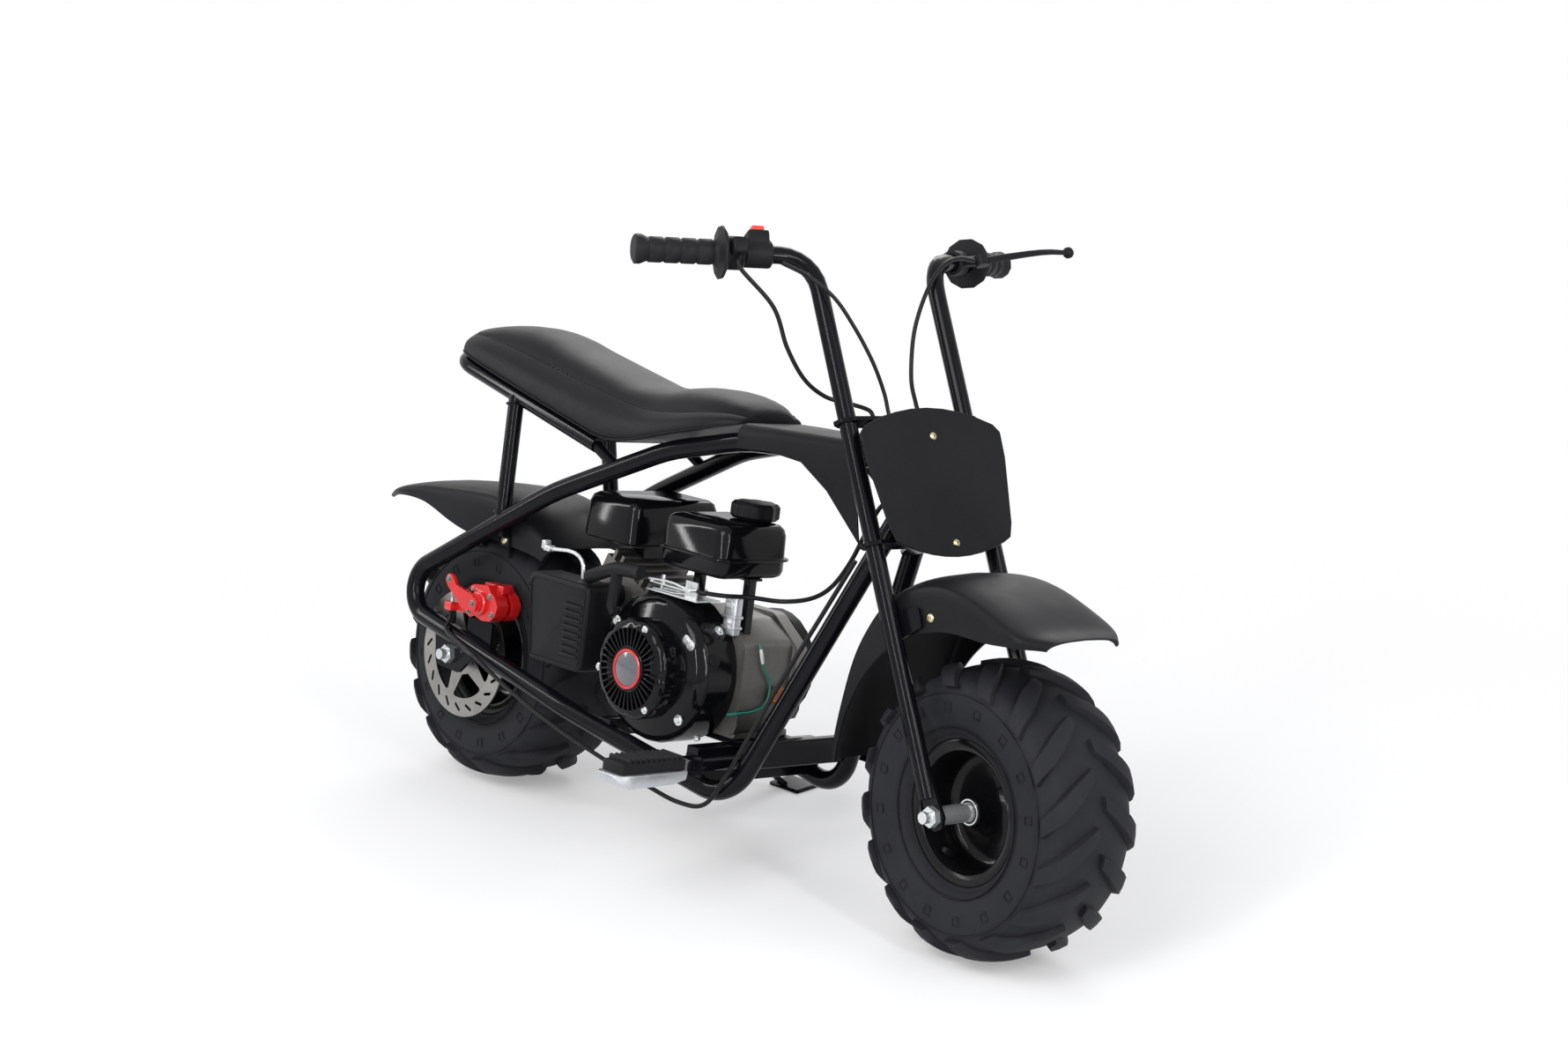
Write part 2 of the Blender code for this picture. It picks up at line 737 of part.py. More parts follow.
def fender_lug(upper):
    """Return the lug on the left rail that the rear fender is bolted to."""
    face = FENDER_HALF_WIDTH + CLEARANCE
    rail = on_path(upper, 0.051)
    return (block((0.041, face, 0.342), (0.061, face + 0.003, rail.z - 0.003)),
            block((0.041, face, rail.z - 0.017), (0.061, rail.y, rail.z - 0.004)))


def build_frame(bike):
    """Add the frame loops, head tube, engine mount, footpeg bar and seat frame."""
    upper, lower = loop_paths()
    cope = around(HEAD_RADIUS, HUB_SIDES)
    for name, mirror in (("left", False), ("right", True)):
        rail = cut(united(sweep(upper, LOOP_RADIUS, TUBE_SIDES), *fender_lug(upper)), axis_cutter(cope))
        tube = cut(united(sweep(lower, LOOP_RADIUS, TUBE_SIDES), dropout()), axis_cutter(cope))
        if mirror:
            rail = mirrored(rail)
            low = -DROPOUT_OFFSET - DROPOUT_THICKNESS / 2
            bracket = prism(rounded([(0.032, 0.190), (0.086, 0.182), (0.086, 0.2397), (0.032, 0.2397)],
                                    0.003),
                            low, low + DROPOUT_THICKNESS)
            tube = united(mirrored(tube), bracket)
        else:
            tube = united(tube, stand_bracket())
        bike.piece("upper_rail_" + name, rail, "frame_paint")
        bike.piece("lower_tube_" + name, tube, "frame_paint")
    head = turned([(LOWER_CLAMP + CLAMP_THICKNESS, STEM_RADIUS + STEM_GAP),
                   (UPPER_CLAMP - CLAMP_THICKNESS * 2, STEM_RADIUS + STEM_GAP),
                   (UPPER_CLAMP - CLAMP_THICKNESS * 2, HEAD_RADIUS), (LOWER_CLAMP + CLAMP_THICKNESS,
                                                                      HEAD_RADIUS)], HUB_SIDES, "Z")
    bike.piece("head_tube", head, "frame_paint", bike.head)
    build_engine_mount(bike, lower)
    build_seat_frame(bike, upper)


def build_engine_mount(bike, lower):
    """Add the plate that carries the engine, its cross bars and front channel, and the peg bar."""
    plate_low = MOUNT_TOP - MOUNT_THICKNESS
    plate = block((0.326, -0.049, plate_low), (0.577, 0.062, MOUNT_TOP), 0.001, 1)
    channel = block((0.574, -0.097, 0.152), (0.588, 0.097, 0.186), 0.0015, 1)
    rear_bar = block((0.325, -0.118, 0.142), (0.345, 0.118, plate_low + 0.001), 0.001, 1)
    front_bar = block((0.490, -0.112, 0.116), (0.512, 0.112, plate_low + 0.001), 0.001, 1)
    mount = united(plate, channel, rear_bar, front_bar)
    cutters = [sweep(lower, around(LOOP_RADIUS, TUBE_SIDES), TUBE_SIDES)]
    cutters.append(mirrored(cutters[0]))
    slots = [block((0.40 + 0.06 * k, -0.030, plate_low - 0.01), (0.43 + 0.06 * k, 0.030, MOUNT_TOP + 0.01))
             for k in (-0.2, 1.1)]
    relief = block((0.566, -0.060, MOUNT_TOP - 0.001), (0.574, 0.070, MOUNT_TOP + 0.002))
    bike.piece("engine_mount", cut(mount, *cutters, *slots, relief), "frame_paint")

    bar_x, bar_z = PEG_BAR
    ear_low = PEG_HINGE_OFFSET - 0.014
    bar = rod((bar_x, -ear_low - 0.002, bar_z), (bar_x, ear_low + 0.002, bar_z), PEG_BAR_RADIUS, BAR_SIDES)
    parts = []
    for side in (1, -1):
        plate = block((bar_x - 0.0145, ear_low, bar_z - 0.013), (bar_x + 0.0145, ear_low + 0.004,
                                                                 bar_z + 0.013))
        ears = []
        for place in (-0.0145, 0.0105):
            ears.append(block((bar_x + place, ear_low + 0.002, bar_z - 0.0095),
                              (bar_x + place + 0.004, PEG_HINGE_OFFSET + 0.0075, bar_z + 0.0095)))
        pin = rod((bar_x - 0.017, PEG_HINGE_OFFSET, bar_z), (bar_x + 0.017, PEG_HINGE_OFFSET, bar_z), 0.004,
                  PIN_SIDES)
        for bm in (plate, *ears, pin):
            parts.append(bm if side > 0 else mirrored(bm))
            if side < 0:
                bm.free()
    bike.piece("footpeg_bar", united(bar, *parts), "frame_paint")


def build_seat_frame(bike, upper):
    """Add the hoop round the seat's tail with its struts, and the pan under the seat."""
    pan_high = SEAT_LINE - CLEARANCE
    hoop_height = pan_high - SEAT_PAN_SHEET - CLEARANCE - STRUT_RADIUS / math.cos(math.atan(SEAT_SLOPE))

    def hoop_z(x):
        return hoop_height + SEAT_SLOPE * x

    corners = [
        Corner(0.215, 0.080, hoop_z(0.215), 0.0),
        Corner(-0.118, 0.080, hoop_z(-0.118), 0.050),
        Corner(-0.118, -0.080, hoop_z(-0.118), 0.050),
        Corner(0.215, -0.080, hoop_z(0.215), 0.0),
    ]
    hoop = sweep(bent_path(corners, math.radians(22.5)), STRUT_RADIUS, BAR_SIDES)
    foot = on_path(upper, 0.056)
    parts = []
    for side in (1, -1):
        parts.append(rod((0.056, side * (foot.y - 0.001), foot.z), (0.036, side * 0.082, hoop_z(0.036)),
                         STRUT_RADIUS, BAR_SIDES))
        parts.append(rod((0.262, side * 0.080, 0.484), (0.205, side * 0.080, hoop_z(0.205)),
                         STRUT_RADIUS * 0.7, PIN_SIDES))
    cutter = sweep(upper, around(LOOP_RADIUS, TUBE_SIDES), TUBE_SIDES)
    other = mirrored(cutter)
    frame = cut(united(hoop, *parts), cutter, other)
    bike.piece("seat_frame", frame, "frame_paint")
    outline = [(x, z + SEAT_SLOPE * x) for x, z in ((-0.080, pan_high - SEAT_PAN_SHEET),
                                                   (0.235, pan_high - SEAT_PAN_SHEET),
                                                   (0.235, pan_high), (-0.080, pan_high))]
    bike.piece("seat_pan", prism(outline, -0.082, 0.082), "matte_plastic")


def seat_stations():
    """Return the seat's cross sections from the tail to the nose."""
    return [
        Station(-0.100, 0.002, 0.076, 0.618, 0.060, 0.625),
        Station(-0.085, 0.000, 0.088, 0.625, 0.067, 0.636),
        Station(-0.050, 0.000, 0.095, 0.625, 0.070, 0.643),
        Station(0.003, 0.000, 0.098, 0.618, 0.071, 0.646),
        Station(0.080, 0.000, 0.100, 0.605, 0.071, 0.633),
        Station(0.142, 0.000, 0.100, 0.595, 0.071, 0.620),
        Station(0.200, 0.000, 0.100, 0.586, 0.071, 0.608),
        Station(0.240, 0.002, 0.099, 0.580, 0.071, 0.600),
        Station(0.294, 0.021, 0.097, 0.573, 0.072, 0.601),
        Station(0.345, 0.048, 0.094, 0.576, 0.071, 0.610),
        Station(0.400, 0.076, 0.086, 0.584, 0.066, 0.612),
        Station(0.440, 0.097, 0.072, 0.588, 0.056, 0.604),
        Station(0.460, 0.108, 0.056, 0.584, 0.042, 0.591),
    ]


def seat():
    """Return the padded seat as one lofted body with a crease round its top."""
    rings = []
    for s in seat_stations():
        low = SEAT_LINE + SEAT_SLOPE * s.x + s.rise
        depth = s.crease - low
        half = [
            (s.bottom_half - 0.008, low),
            (s.bottom_half, low + 0.18 * depth),
            (s.bottom_half - 0.15 * (s.bottom_half - s.crease_half), low + 0.55 * depth),
            (s.crease_half + 0.25 * (s.bottom_half - s.crease_half), s.crease - 0.10 * depth),
            (s.crease_half, s.crease),
            (s.crease_half * 0.62, s.crease + 0.72 * (s.crown - s.crease)),
        ]
        right = [(s.x, y, z) for y, z in half]
        left = [(s.x, -y, z) for y, z in reversed(half)]
        rings.append(right + [(s.x, 0.0, s.crown)] + left)
    return loft(rings)


def head_cover():
    """Return the saddle shaped cover over the rails behind the head."""
    rows = [
        Saddle(0.466, 0.5780, 0.466, 0.545),
        Saddle(0.515, 0.5805, 0.520, 0.549),
        Saddle(0.560, 0.5820, 0.575, 0.544),
        Saddle(0.600, 0.5835, 0.622, 0.515),
        Saddle(0.632, 0.5845, 0.657, 0.482),
        Saddle(0.652, 0.5850, 0.683, 0.458),
    ]
    sheet = 0.0025
    corners = loop_corners()
    first = corners[-2]
    last = corners[-1]
    rings = []
    for row in rows:
        share = (row.top_x - first.x) / (last.x - first.x)
        half = first.y + (last.y - first.y) * share + LOOP_RADIUS + CLEARANCE * 2 + sheet
        top = Vector((row.top_x, 0, row.top_z))
        down = Vector((row.low_x, 0, row.low_z)) - top
        depth = down.length
        down.normalize()
        outer = []
        inner = []
        bend = 0.016
        for k in range(4):
            turn = math.pi / 2 * k / 3
            outer.append((half - bend * (1 - math.cos(turn)), bend * (1 - math.sin(turn))))
            inner.append((half - bend + (bend - sheet) * math.cos(turn),
                          bend - (bend - sheet) * math.sin(turn)))
        side_out = [(half, depth)] + outer
        side_in = [(half - sheet, depth)] + inner
        across_out = side_out + [(-y, d) for y, d in reversed(side_out)]
        across_in = side_in + [(-y, d) for y, d in reversed(side_in)]
        rings.append([top + down * d + Vector((0, y, 0)) for y, d in across_out + across_in[::-1]])
    return loft(rings)


def polar_fender(rows, centre, spacing=2):
    """Return a curved fender of even sheet, lofted through U sections round a wheel's centre."""
    dense = []
    for k in range((len(rows) - 1) * spacing + 1):
        i = min(k // spacing, len(rows) - 2)
        t = k / spacing - i
        points = [Vector(rows[max(min(j, len(rows) - 1), 0)]) for j in (i - 1, i, i + 1, i + 2)]
        a, b, c, d = points
        dense.append(Fender(*(0.5 * (2 * b + (c - a) * t + (2 * a - 5 * b + 4 * c - d) * t ** 2
                                     + (3 * b - a - 3 * c + d) * t ** 3))))
    rings = []
    for row in dense:
        edge = row.crown - row.drop
        outer = [
            (row.half, edge - row.skirt),
            (row.half, edge),
            (row.half * 0.88, edge + row.drop * 0.52),
            (row.half * 0.55, edge + row.drop * 0.86),
            (0.0, row.crown),
        ]
        inner = [(max(y - FENDER_SHEET, 0.0), r - (FENDER_SHEET if i else 0.0)) for i, (y,
                                                                                        r) in enumerate(outer)]
        inner[1] = (outer[1][0] - FENDER_SHEET, outer[1][1] - FENDER_SHEET * 0.5)
        full_out = outer + [(-y, r) for y, r in reversed(outer[:-1])]
        full_in = inner + [(-y, r) for y, r in reversed(inner[:-1])]
        turn = math.radians(row.angle)
        rings.append([Vector((centre[0] + r * math.cos(turn), y, centre[1] + r * math.sin(turn)))
                      for y, r in full_out + full_in[::-1]])
    return loft(rings)


def build_bodywork(bike):
    """Add the seat, the cover behind the head and the rear fender."""
    bike.piece("seat", seat(), "seat_vinyl", None, 50.0)
    bike.piece("head_cover", head_cover(), "fender_plastic")
    rows = [
        (50, 0.232, 0.014, 0.016, FENDER_HALF_WIDTH),
        (66, 0.236, 0.018, 0.040, FENDER_HALF_WIDTH),
        (84, 0.237, 0.020, 0.050, FENDER_HALF_WIDTH),
        (102, 0.240, 0.020, 0.050, FENDER_HALF_WIDTH),
        (116, 0.254, 0.018, 0.040, FENDER_HALF_WIDTH),
        (128, 0.278, 0.014, 0.020, FENDER_HALF_WIDTH * 0.98),
        (138, 0.305, 0.010, 0.010, FENDER_HALF_WIDTH * 0.90),
        (146, 0.330, 0.006, 0.005, FENDER_HALF_WIDTH * 0.60),
    ]
    bike.piece("rear_fender", polar_fender(rows, REAR_AXLE.xz), "fender_plastic", None, 50.0)


# Engine

def at_crank(bm):
    """Place a turned body on the crankshaft's axis."""
    return shifted(bm, CRANK_X, 0.0, CRANK_Z)


def recoil_cover():
    """Return the recoil starter's cover: a scalloped dome with radial slots round a plain badge."""
    columns = 2 * RECOIL_SLOTS
    back = -SHROUD_FACE - CLEARANCE
    rows = [
        (0.0, back, 0.0),
        (RECOIL_RADIUS, back, 1.0),
        (RECOIL_RADIUS, -RECOIL_FACE + 0.008, 1.0),
        (RECOIL_RADIUS - 0.003, -RECOIL_FACE + 0.002, 1.0),
        (RECOIL_RADIUS - 0.008, -RECOIL_FACE, 0.6),
        (0.052, -RECOIL_FACE - 0.001, 0.0),
        (0.031, -RECOIL_FACE - 0.003, 0.0),
        (0.027, -RECOIL_FACE - 0.003, 0.0),
        (0.026, -RECOIL_FACE - 0.005, 0.0),
        (0.022, -RECOIL_FACE - 0.005, 0.0),
        (0.021, -RECOIL_FACE - 0.004, 0.0),
        (0.0, -RECOIL_FACE - 0.004, 0.0),
    ]
    bm = bmesh.new()
    grid = []
    for column in range(columns):
        angle = 2 * math.pi * column / columns
        ring = []
        for radius, y, scallop in rows:
            reach = radius * (1 + 0.035 * scallop * math.cos(8 * angle))
            ring.append(bm.verts.new((reach * math.cos(angle), y, reach * math.sin(angle))))
        grid.append(ring)
    slots = []
    for column in range(columns):
        here = grid[column]
        after = grid[(column + 1) % columns]
        for k in range(len(rows) - 1):
            face = bm.faces.new((here[k], here[k + 1], after[k + 1], after[k]))
            if k == 5 and column % 2 == 0:
                slots.append(face)
    bmesh.ops.inset_individual(bm, faces=slots, thickness=0.0006, depth=0.0)
    sunk = bmesh.ops.extrude_discrete_faces(bm, faces=slots)["faces"]
    bmesh.ops.translate(bm, verts=list({v for face in sunk for v in face.verts}), vec=(0, 0.004, 0))
    bmesh.ops.remove_doubles(bm, verts=bm.verts, dist=1e-6)
    return at_crank(cleaned(bm))


def rope_guide():
    """Return the boss on the recoil cover that the starter rope leaves by."""
    outline = [(-0.0530, 0.0350), (-0.0350, 0.0530), (-0.0510, 0.0690), (-0.0690, 0.0510)]
    outline = [(CRANK_X + x, CRANK_Z + z) for x, z in outline]
    return prism(rounded(outline, 0.003), -0.140, -SHROUD_FACE - CLEARANCE)


def shroud():
    """Return the glossy blower housing: a rounded drum with its duct toward the cylinder."""
    back = -CASE_HALF_WIDTH - CLEARANCE
    r = SHROUD_RADIUS
    face = -SHROUD_FACE
    drum = at_crank(turned([(back, 0.0), (back, r), (face + 0.016, r), (face + 0.006, r - 0.004),
                            (face, r - 0.014), (face, 0.0)], DRUM_SIDES))
    duct_outline = [(0.345, 0.330), (0.300, 0.260), (0.345, 0.200), (0.420, 0.240), (0.420, 0.330)]
    duct = prism(rounded(duct_outline, 0.010), face + 0.008, back)
    return united(drum, duct)


def crankcase():
    """Return the cast crankcase with its side cover and its feet on the mount."""
    low = MOUNT_TOP + CLEARANCE
    body_outline = rounded([(0.335, low + 0.006), (0.512, low + 0.006), (0.512, 0.296), (0.470, 0.322),
                            (0.395, 0.328), (0.335, 0.296)], 0.014)
    body = prism(body_outline, -CASE_HALF_WIDTH, 0.040)
    foot = block((0.338, -0.046, low), (0.505, 0.052, low + 0.010), 0.002, 1)
    cover = prism(rounded([(0.330, 0.190), (0.518, 0.190), (0.522, 0.290), (0.470, 0.328), (0.385, 0.328),
                           (0.330, 0.290)], 0.018), 0.036, 0.055)
    boss = at_crank(turned([(0.050, 0.0), (0.050, 0.040), (0.066, 0.034), (0.073, 0.030), (0.073, 0.0)],
                           HUB_SIDES))
    return united(body, foot, cover, boss)


def cylinder_frame():
    """Return the matrix that lays +X along the cylinder, from the crankshaft up and back."""
    turn = Matrix.Rotation(math.pi + CYLINDER_TILT, 4, "Y")
    return Matrix.Translation((CRANK_X, 0.0, CRANK_Z)) @ turn


def cylinder_head():
    """Return the cylinder with its cooling fins and rocker cover."""
    core = 0.030
    wide = 0.045
    start = 0.092
    outline = [(start, -core)]
    place = start + 0.010
    for _ in range(FIN_COUNT):
        outline += [(place, -core), (place, -wide), (place + FIN_SHEET, -wide), (place + FIN_SHEET, -core)]
        place += FIN_PITCH
    outline += [(place, -core), (place, core)]
    outline += [(s, -h) for s, h in reversed(outline[1:-2])]
    outline.append((start, core))
    body = prism(outline, -0.048, 0.045)
    return moved(body, cylinder_frame())


def stacked_box(low, high, layers, corner):
    """Return a rounded box whose outline shrinks or grows from layer to layer."""
    rings = []
    for layer in layers:
        x0, y0 = low[0] + layer.inset, low[1] + layer.inset
        x1, y1 = high[0] - layer.inset, high[1] - layer.inset
        ring = rounded([(x0, y0), (x1, y0), (x1, y1), (x0, y1)], max(corner - layer.inset, 0.003), 4)
        rings.append([(x, y, layer.height) for x, y in ring])
    return loft(rings)


def fuel_tank():
    """Return the pressed steel tank: two shells meeting at a seam flange."""
    layers = [
        Layer(0.3800, 0.010), Layer(0.3840, 0.002), Layer(0.3900, 0.0), Layer(0.4030, 0.0),
        Layer(0.4034, -0.006), Layer(0.4066, -0.006), Layer(0.4070, 0.0), Layer(0.4360, 0.001),
        Layer(0.4440, 0.004), Layer(0.4490, 0.010), Layer(0.4510, 0.020),
    ]
    return stacked_box((0.381, -0.104), (0.507, 0.017), layers, 0.020)


def muffler_guard():
    """Return the guard box round the muffler, seated on the head by its exhaust stub."""
    layers = [Layer(0.3850, 0.004), Layer(0.3870, 0.0), Layer(0.4330, 0.002), Layer(0.4420, 0.006),
              Layer(0.4465, 0.014)]
    box = stacked_box((0.192, -0.075), (0.300, 0.085), layers, 0.018)
    stub = prism([(0.235, 0.3755), (0.265, 0.3615), (0.265, 0.392), (0.235, 0.392)], -0.020, 0.020)
    return united(box, stub)


def air_cleaner():
    """Return the air cleaner's cover with its louvres, and the neck to the carburettor."""
    outline = rounded([(0.192, 0.216), (0.300, 0.216), (0.300, 0.334), (0.176, 0.334)], 0.010)
    body = prism(outline, -0.143, -0.096)
    bmesh.ops.bevel(body, geom=[e for e in body.edges if all(v.co.y < -0.142 for v in e.verts)
                                and len(e.link_faces) == 2 and any(abs(f.normal.y) < 0.5 for f in e.link_faces)],
                    offset=0.005, segments=2, profile=0.5, affect="EDGES")
    neck = rod((0.252, -0.100, 0.312), (0.252, -0.048 - CLEARANCE, 0.312), 0.017, TUBE_SIDES)
    shell = united(cleaned(body), neck)
    louvres = [block((0.262, -0.150, 0.236 + 0.0095 * k), (0.290, -0.1415,
                                                           0.2405 + 0.0095 * k)) for k in range(8)]
    return cut(shell, *louvres)


def pull_handle():
    """Return the recoil starter's T handle with its rope end."""
    start = Vector((0.284, -0.130, 0.343))
    end = Vector((0.386, -0.130, 0.368))
    middle = Vector((0.348, -0.130, 0.303))
    centre = Vector((CRANK_X, -0.130, CRANK_Z))
    seat_point = centre + (middle - centre).normalized() * (0.0849 + CLEARANCE)
    rise = Vector((0, 0, 0.008))
    bar = sweep(smooth_path([start, (start + end) / 2 + rise, end], 9), 0.0095, BAR_SIDES)
    outward = (middle - centre).normalized()
    stem = sweep([seat_point, seat_point + outward * 0.012, (start * 0.45 + end * 0.55) + rise], 0.008,
                 PIN_SIDES)
    return united(bar, stem)


def governor_linkage():
    """Return the throttle and governor linkage: plates, arm, spring and rods as one body."""
    low = CRANK_Z + SHROUD_RADIUS + CLEARANCE
    base = block((0.372, -0.106, low), (0.470, -0.064, low + 0.002))
    post = rod((0.392, -0.096, low), (0.392, -0.096, low + 0.022), 0.003, PIN_SIDES)
    arm = block((0.384, -0.112, low + 0.012), (0.462, -0.094, low + 0.0138))
    tab = block((0.440, -0.100, low), (0.462, -0.098, low + 0.024))
    second = rod((0.446, -0.088, low), (0.446, -0.088, low + 0.018), 0.004, PIN_SIDES)
    link = sweep(smooth_path([(0.380, -0.110, low + 0.0155), (0.420, -0.109, low + 0.018),
                              (0.452, -0.107, low + 0.014)], 6), 0.0014, 6)
    foot = rod((0.384, -0.108, low + 0.0125), (0.384, -0.108, low + 0.0165), 0.0035, 6)
    return united(base, post, arm, tab, second, link, foot)


def clutch():
    """Return the clutch's drum with the small sprocket that drives the chain."""
    heading = drive_geometry()[4]
    low = CHAIN_OFFSET - SPROCKET_THICKNESS / 2
    phase = heading + math.pi / CLUTCH_TEETH
    wheel = at_crank(prism(sprocket_outline(CLUTCH_TEETH, phase), low, low + SPROCKET_THICKNESS))
    shaft = at_crank(turned([(0.073 + CLEARANCE, 0.0), (0.073 + CLEARANCE, 0.014), (0.099, 0.014), (0.099,
                                                                                                    0.0)],
                            TUBE_SIDES))
    drum = at_crank(turned([(0.0985, 0.0), (0.0985, 0.050), (0.118, 0.050), (0.118, 0.0)], HUB_SIDES))
    return united(shaft, wheel, drum)


def clutch_guard():
    """Return the round guard over the clutch's outer face and rim."""
    low = 0.0985
    inner = 0.050 + RUNNING_GAP
    outer = 0.073
    face = 0.118 + CLEARANCE
    return at_crank(turned([(low, inner), (face, inner), (face, 0.0), (face + 0.004, 0.0),
                            (face + 0.004, outer - 0.008), (face - 0.002, outer), (low, outer)],
                           DRUM_SIDES - 4))


def build_engine(bike):
    """Add the engine's pieces."""
    bike.piece("crankcase", crankcase(), "cast_aluminium")
    bike.piece("cylinder", cylinder_head(), "cast_aluminium")
    bike.piece("blower_housing", shroud(), "engine_paint")
    bike.piece("recoil_cover", united(recoil_cover(), rope_guide()), "engine_paint", None, 25.0)
    bike.piece("pull_handle", pull_handle(), "matte_plastic")
    bike.piece("fuel_tank", fuel_tank(), "engine_paint")
    cap = turned([(0.4513, 0.0), (0.4513, 0.026), (0.4560, 0.031), (0.4700, 0.031), (0.4745, 0.027),
                  (0.4755, 0.0)], DRUM_SIDES, "Z", lambda t: 1 + 0.07 * math.cos(8 * t))
    bike.piece("fuel_cap", shifted(cap, 0.463, -0.014, 0.0), "matte_plastic")
    bike.piece("muffler_guard", muffler_guard(), "engine_paint")
    bike.piece("air_cleaner", air_cleaner(), "matte_plastic", None, 30.0)
    lever = sweep(smooth_path([(0.180, -0.112, 0.362), (0.226, -0.112, 0.366), (0.248, -0.112, 0.356),
                               (0.252, -0.112, 0.334 + CLEARANCE)], 9), 0.0028, 6)
    bike.piece("choke_lever", lever, "zinc_steel")
    bike.piece("governor_linkage", governor_linkage(), "zinc_steel")
    bike.piece("clutch", clutch(), "chain_steel")
    bike.piece("clutch_guard", clutch_guard(), "matte_plastic")
    posts = []
    for x in (0.395, 0.490):
        posts.append(block((x - 0.006, -0.040, 0.3305 if x < 0.45 else 0.300), (x + 0.006, -0.028, 0.3797)))
    strap = block((0.385, -0.046, 0.3765), (0.500, -0.022, 0.3797))
    body = crank_case_cutter()
    bike.piece("tank_bracket", cut(united(strap, *posts), body), "engine_paint")


def crank_case_cutter():
    """Return the crankcase's outline, widened by the clearance, to seat the tank's bracket."""
    outline = rounded([(0.335 - CLEARANCE, 0.20), (0.512 + CLEARANCE, 0.20), (0.512 + CLEARANCE,
                                                                              0.296 + CLEARANCE),
                       (0.470, 0.322 + CLEARANCE), (0.395, 0.328 + CLEARANCE),
                       (0.335 - CLEARANCE, 0.296 + CLEARANCE)], 0.014)
    return prism(outline, -CASE_HALF_WIDTH, 0.050)


# Rear brake, axles and cables

def axle(reach, spacers, nut_inner):
    """Return an axle with its spacer sleeves and its nuts."""
    bar = rod((0, -reach, 0), (0, reach, 0), AXLE_RADIUS, TUBE_SIDES)
    parts = []
    for side in (1, -1):
        low, high = spacers
        parts.append(rod((0, side * low, 0), (0, side * high, 0), SPACER_RADIUS, TUBE_SIDES))
        parts.append(rod((0, side * nut_inner, 0), (0, side * (nut_inner + NUT_LENGTH), 0), NUT_RADIUS, 6))
    return united(bar, *parts)


def caliper():
    """Return the red brake caliper astride the disc, with its arm and cable stop."""
    inner = -DISC_OFFSET + 0.018
    outer = -DISC_OFFSET - 0.030
    outline = rounded([(0.020, 0.2400), (0.086, 0.2400), (0.094, 0.262), (0.076, 0.292), (0.034, 0.292),
                       (0.018, 0.270)], 0.006)
    body = prism(outline, outer + 0.006, inner)
    boss = rod((0.052, outer + 0.010, 0.262), (0.052, outer - 0.004, 0.262), 0.017, TUBE_SIDES)
    arm = prism(rounded([(0.060, 0.262), (0.052, 0.276), (-0.004, 0.290), (-0.010, 0.282), (0.030, 0.256)],
                        0.004),
                outer - 0.007, outer - 0.003)
    stop = block((-0.010, outer - 0.007, 0.242), (0.004, outer + 0.012, 0.254), 0.001, 1)
    web = prism([(0.002, 0.242), (0.024, 0.242), (0.024, 0.256), (0.002, 0.252)], outer + 0.006,
                outer + 0.012)
    slot = shifted(rod((0, -DISC_OFFSET - 0.003, 0), (0, -DISC_OFFSET + 0.003, 0), DISC_RADIUS + 0.005,
                       DRUM_SIDES),
                   *REAR_AXLE)
    return cut(united(body, boss, arm, web, stop), slot)


def build_running_gear(bike):
    """Add the axles, the caliper and the cables that stay on the frame."""
    face = DROPOUT_OFFSET - DROPOUT_THICKNESS / 2
    rear = axle(0.142, (DISC_OFFSET + DISC_THICKNESS, face - CLEARANCE), face + DROPOUT_THICKNESS + CLEARANCE)
    bike.piece("rear_axle", shifted(rear, *REAR_AXLE), "zinc_steel")
    bike.piece("brake_caliper", caliper(), "caliper_red", None, 25.0)
    bike.cable("throttle_hose", [(0.4628, -0.0990, 0.358), (0.474, -0.0990, 0.358), (0.491, -0.078, 0.357),
                                 (0.505, -0.045, 0.357),
                                 (0.535, -0.016, 0.357), (0.572, -0.002, 0.368), (0.604, 0.0, 0.390),
                                 (0.634, -0.003, 0.428), (0.656, -0.004, 0.472), (0.674, -0.004, 0.504),
                                 (0.693, -0.004, 0.512)], 0.006)
    bike.cable("brake_cable", [(0.692, -0.056, 0.440), (0.660, -0.074, 0.360), (0.628, -0.092, 0.280),
                               (0.600, -0.108, 0.205), (0.578, -0.118, 0.150), (0.545, -0.120, 0.100),
                               (0.500, -0.124, 0.091), (0.440, -0.130, 0.100), (0.350, -0.134, 0.116),
                               (0.250, -0.142, 0.140), (0.150, -0.145, 0.170), (0.070, -0.144, 0.198),
                               (0.010, -0.139, 0.214), (-0.003, -0.128, 0.227), (-0.003, -0.126, 0.2414)],
               0.006)


# Steering

def clamp(height):
    """Return one of the fork's clamps: a plate with a collar round each leg and a tab to the plate."""
    front = FORK_AHEAD + 0.016
    side = FORK_HALF_SPACING
    half = [(front, side + 0.002), (front - 0.010, side + 0.0165), (front - 0.024, side + 0.0165),
            (front - 0.034, side + 0.002), (front - 0.034, 0.030), (-0.011, 0.0195), (-0.019, 0.009)]
    outline = [(x, -y) for x, y in reversed(half)] + half
    holes = [circle(around(FORK_RADIUS, TUBE_SIDES), TUBE_SIDES, (FORK_AHEAD,
                                                                  side * FORK_HALF_SPACING)) for side in (1,
                                                                                                          -1)]
    low = height - CLAMP_THICKNESS / 2
    plate = prism(rounded(outline, 0.003, 2), low, low + CLAMP_THICKNESS, "xy", holes)
    tab = block((0.040, -0.018, low + 0.0005), (PLATE_AHEAD - CLEARANCE, 0.018,
                                                low + CLAMP_THICKNESS - 0.0005))
    flange = block((PLATE_AHEAD - 0.0035, -0.018, low - 0.012), (PLATE_AHEAD - CLEARANCE, 0.018, low + 0.004))
    return united(plate, tab, flange)


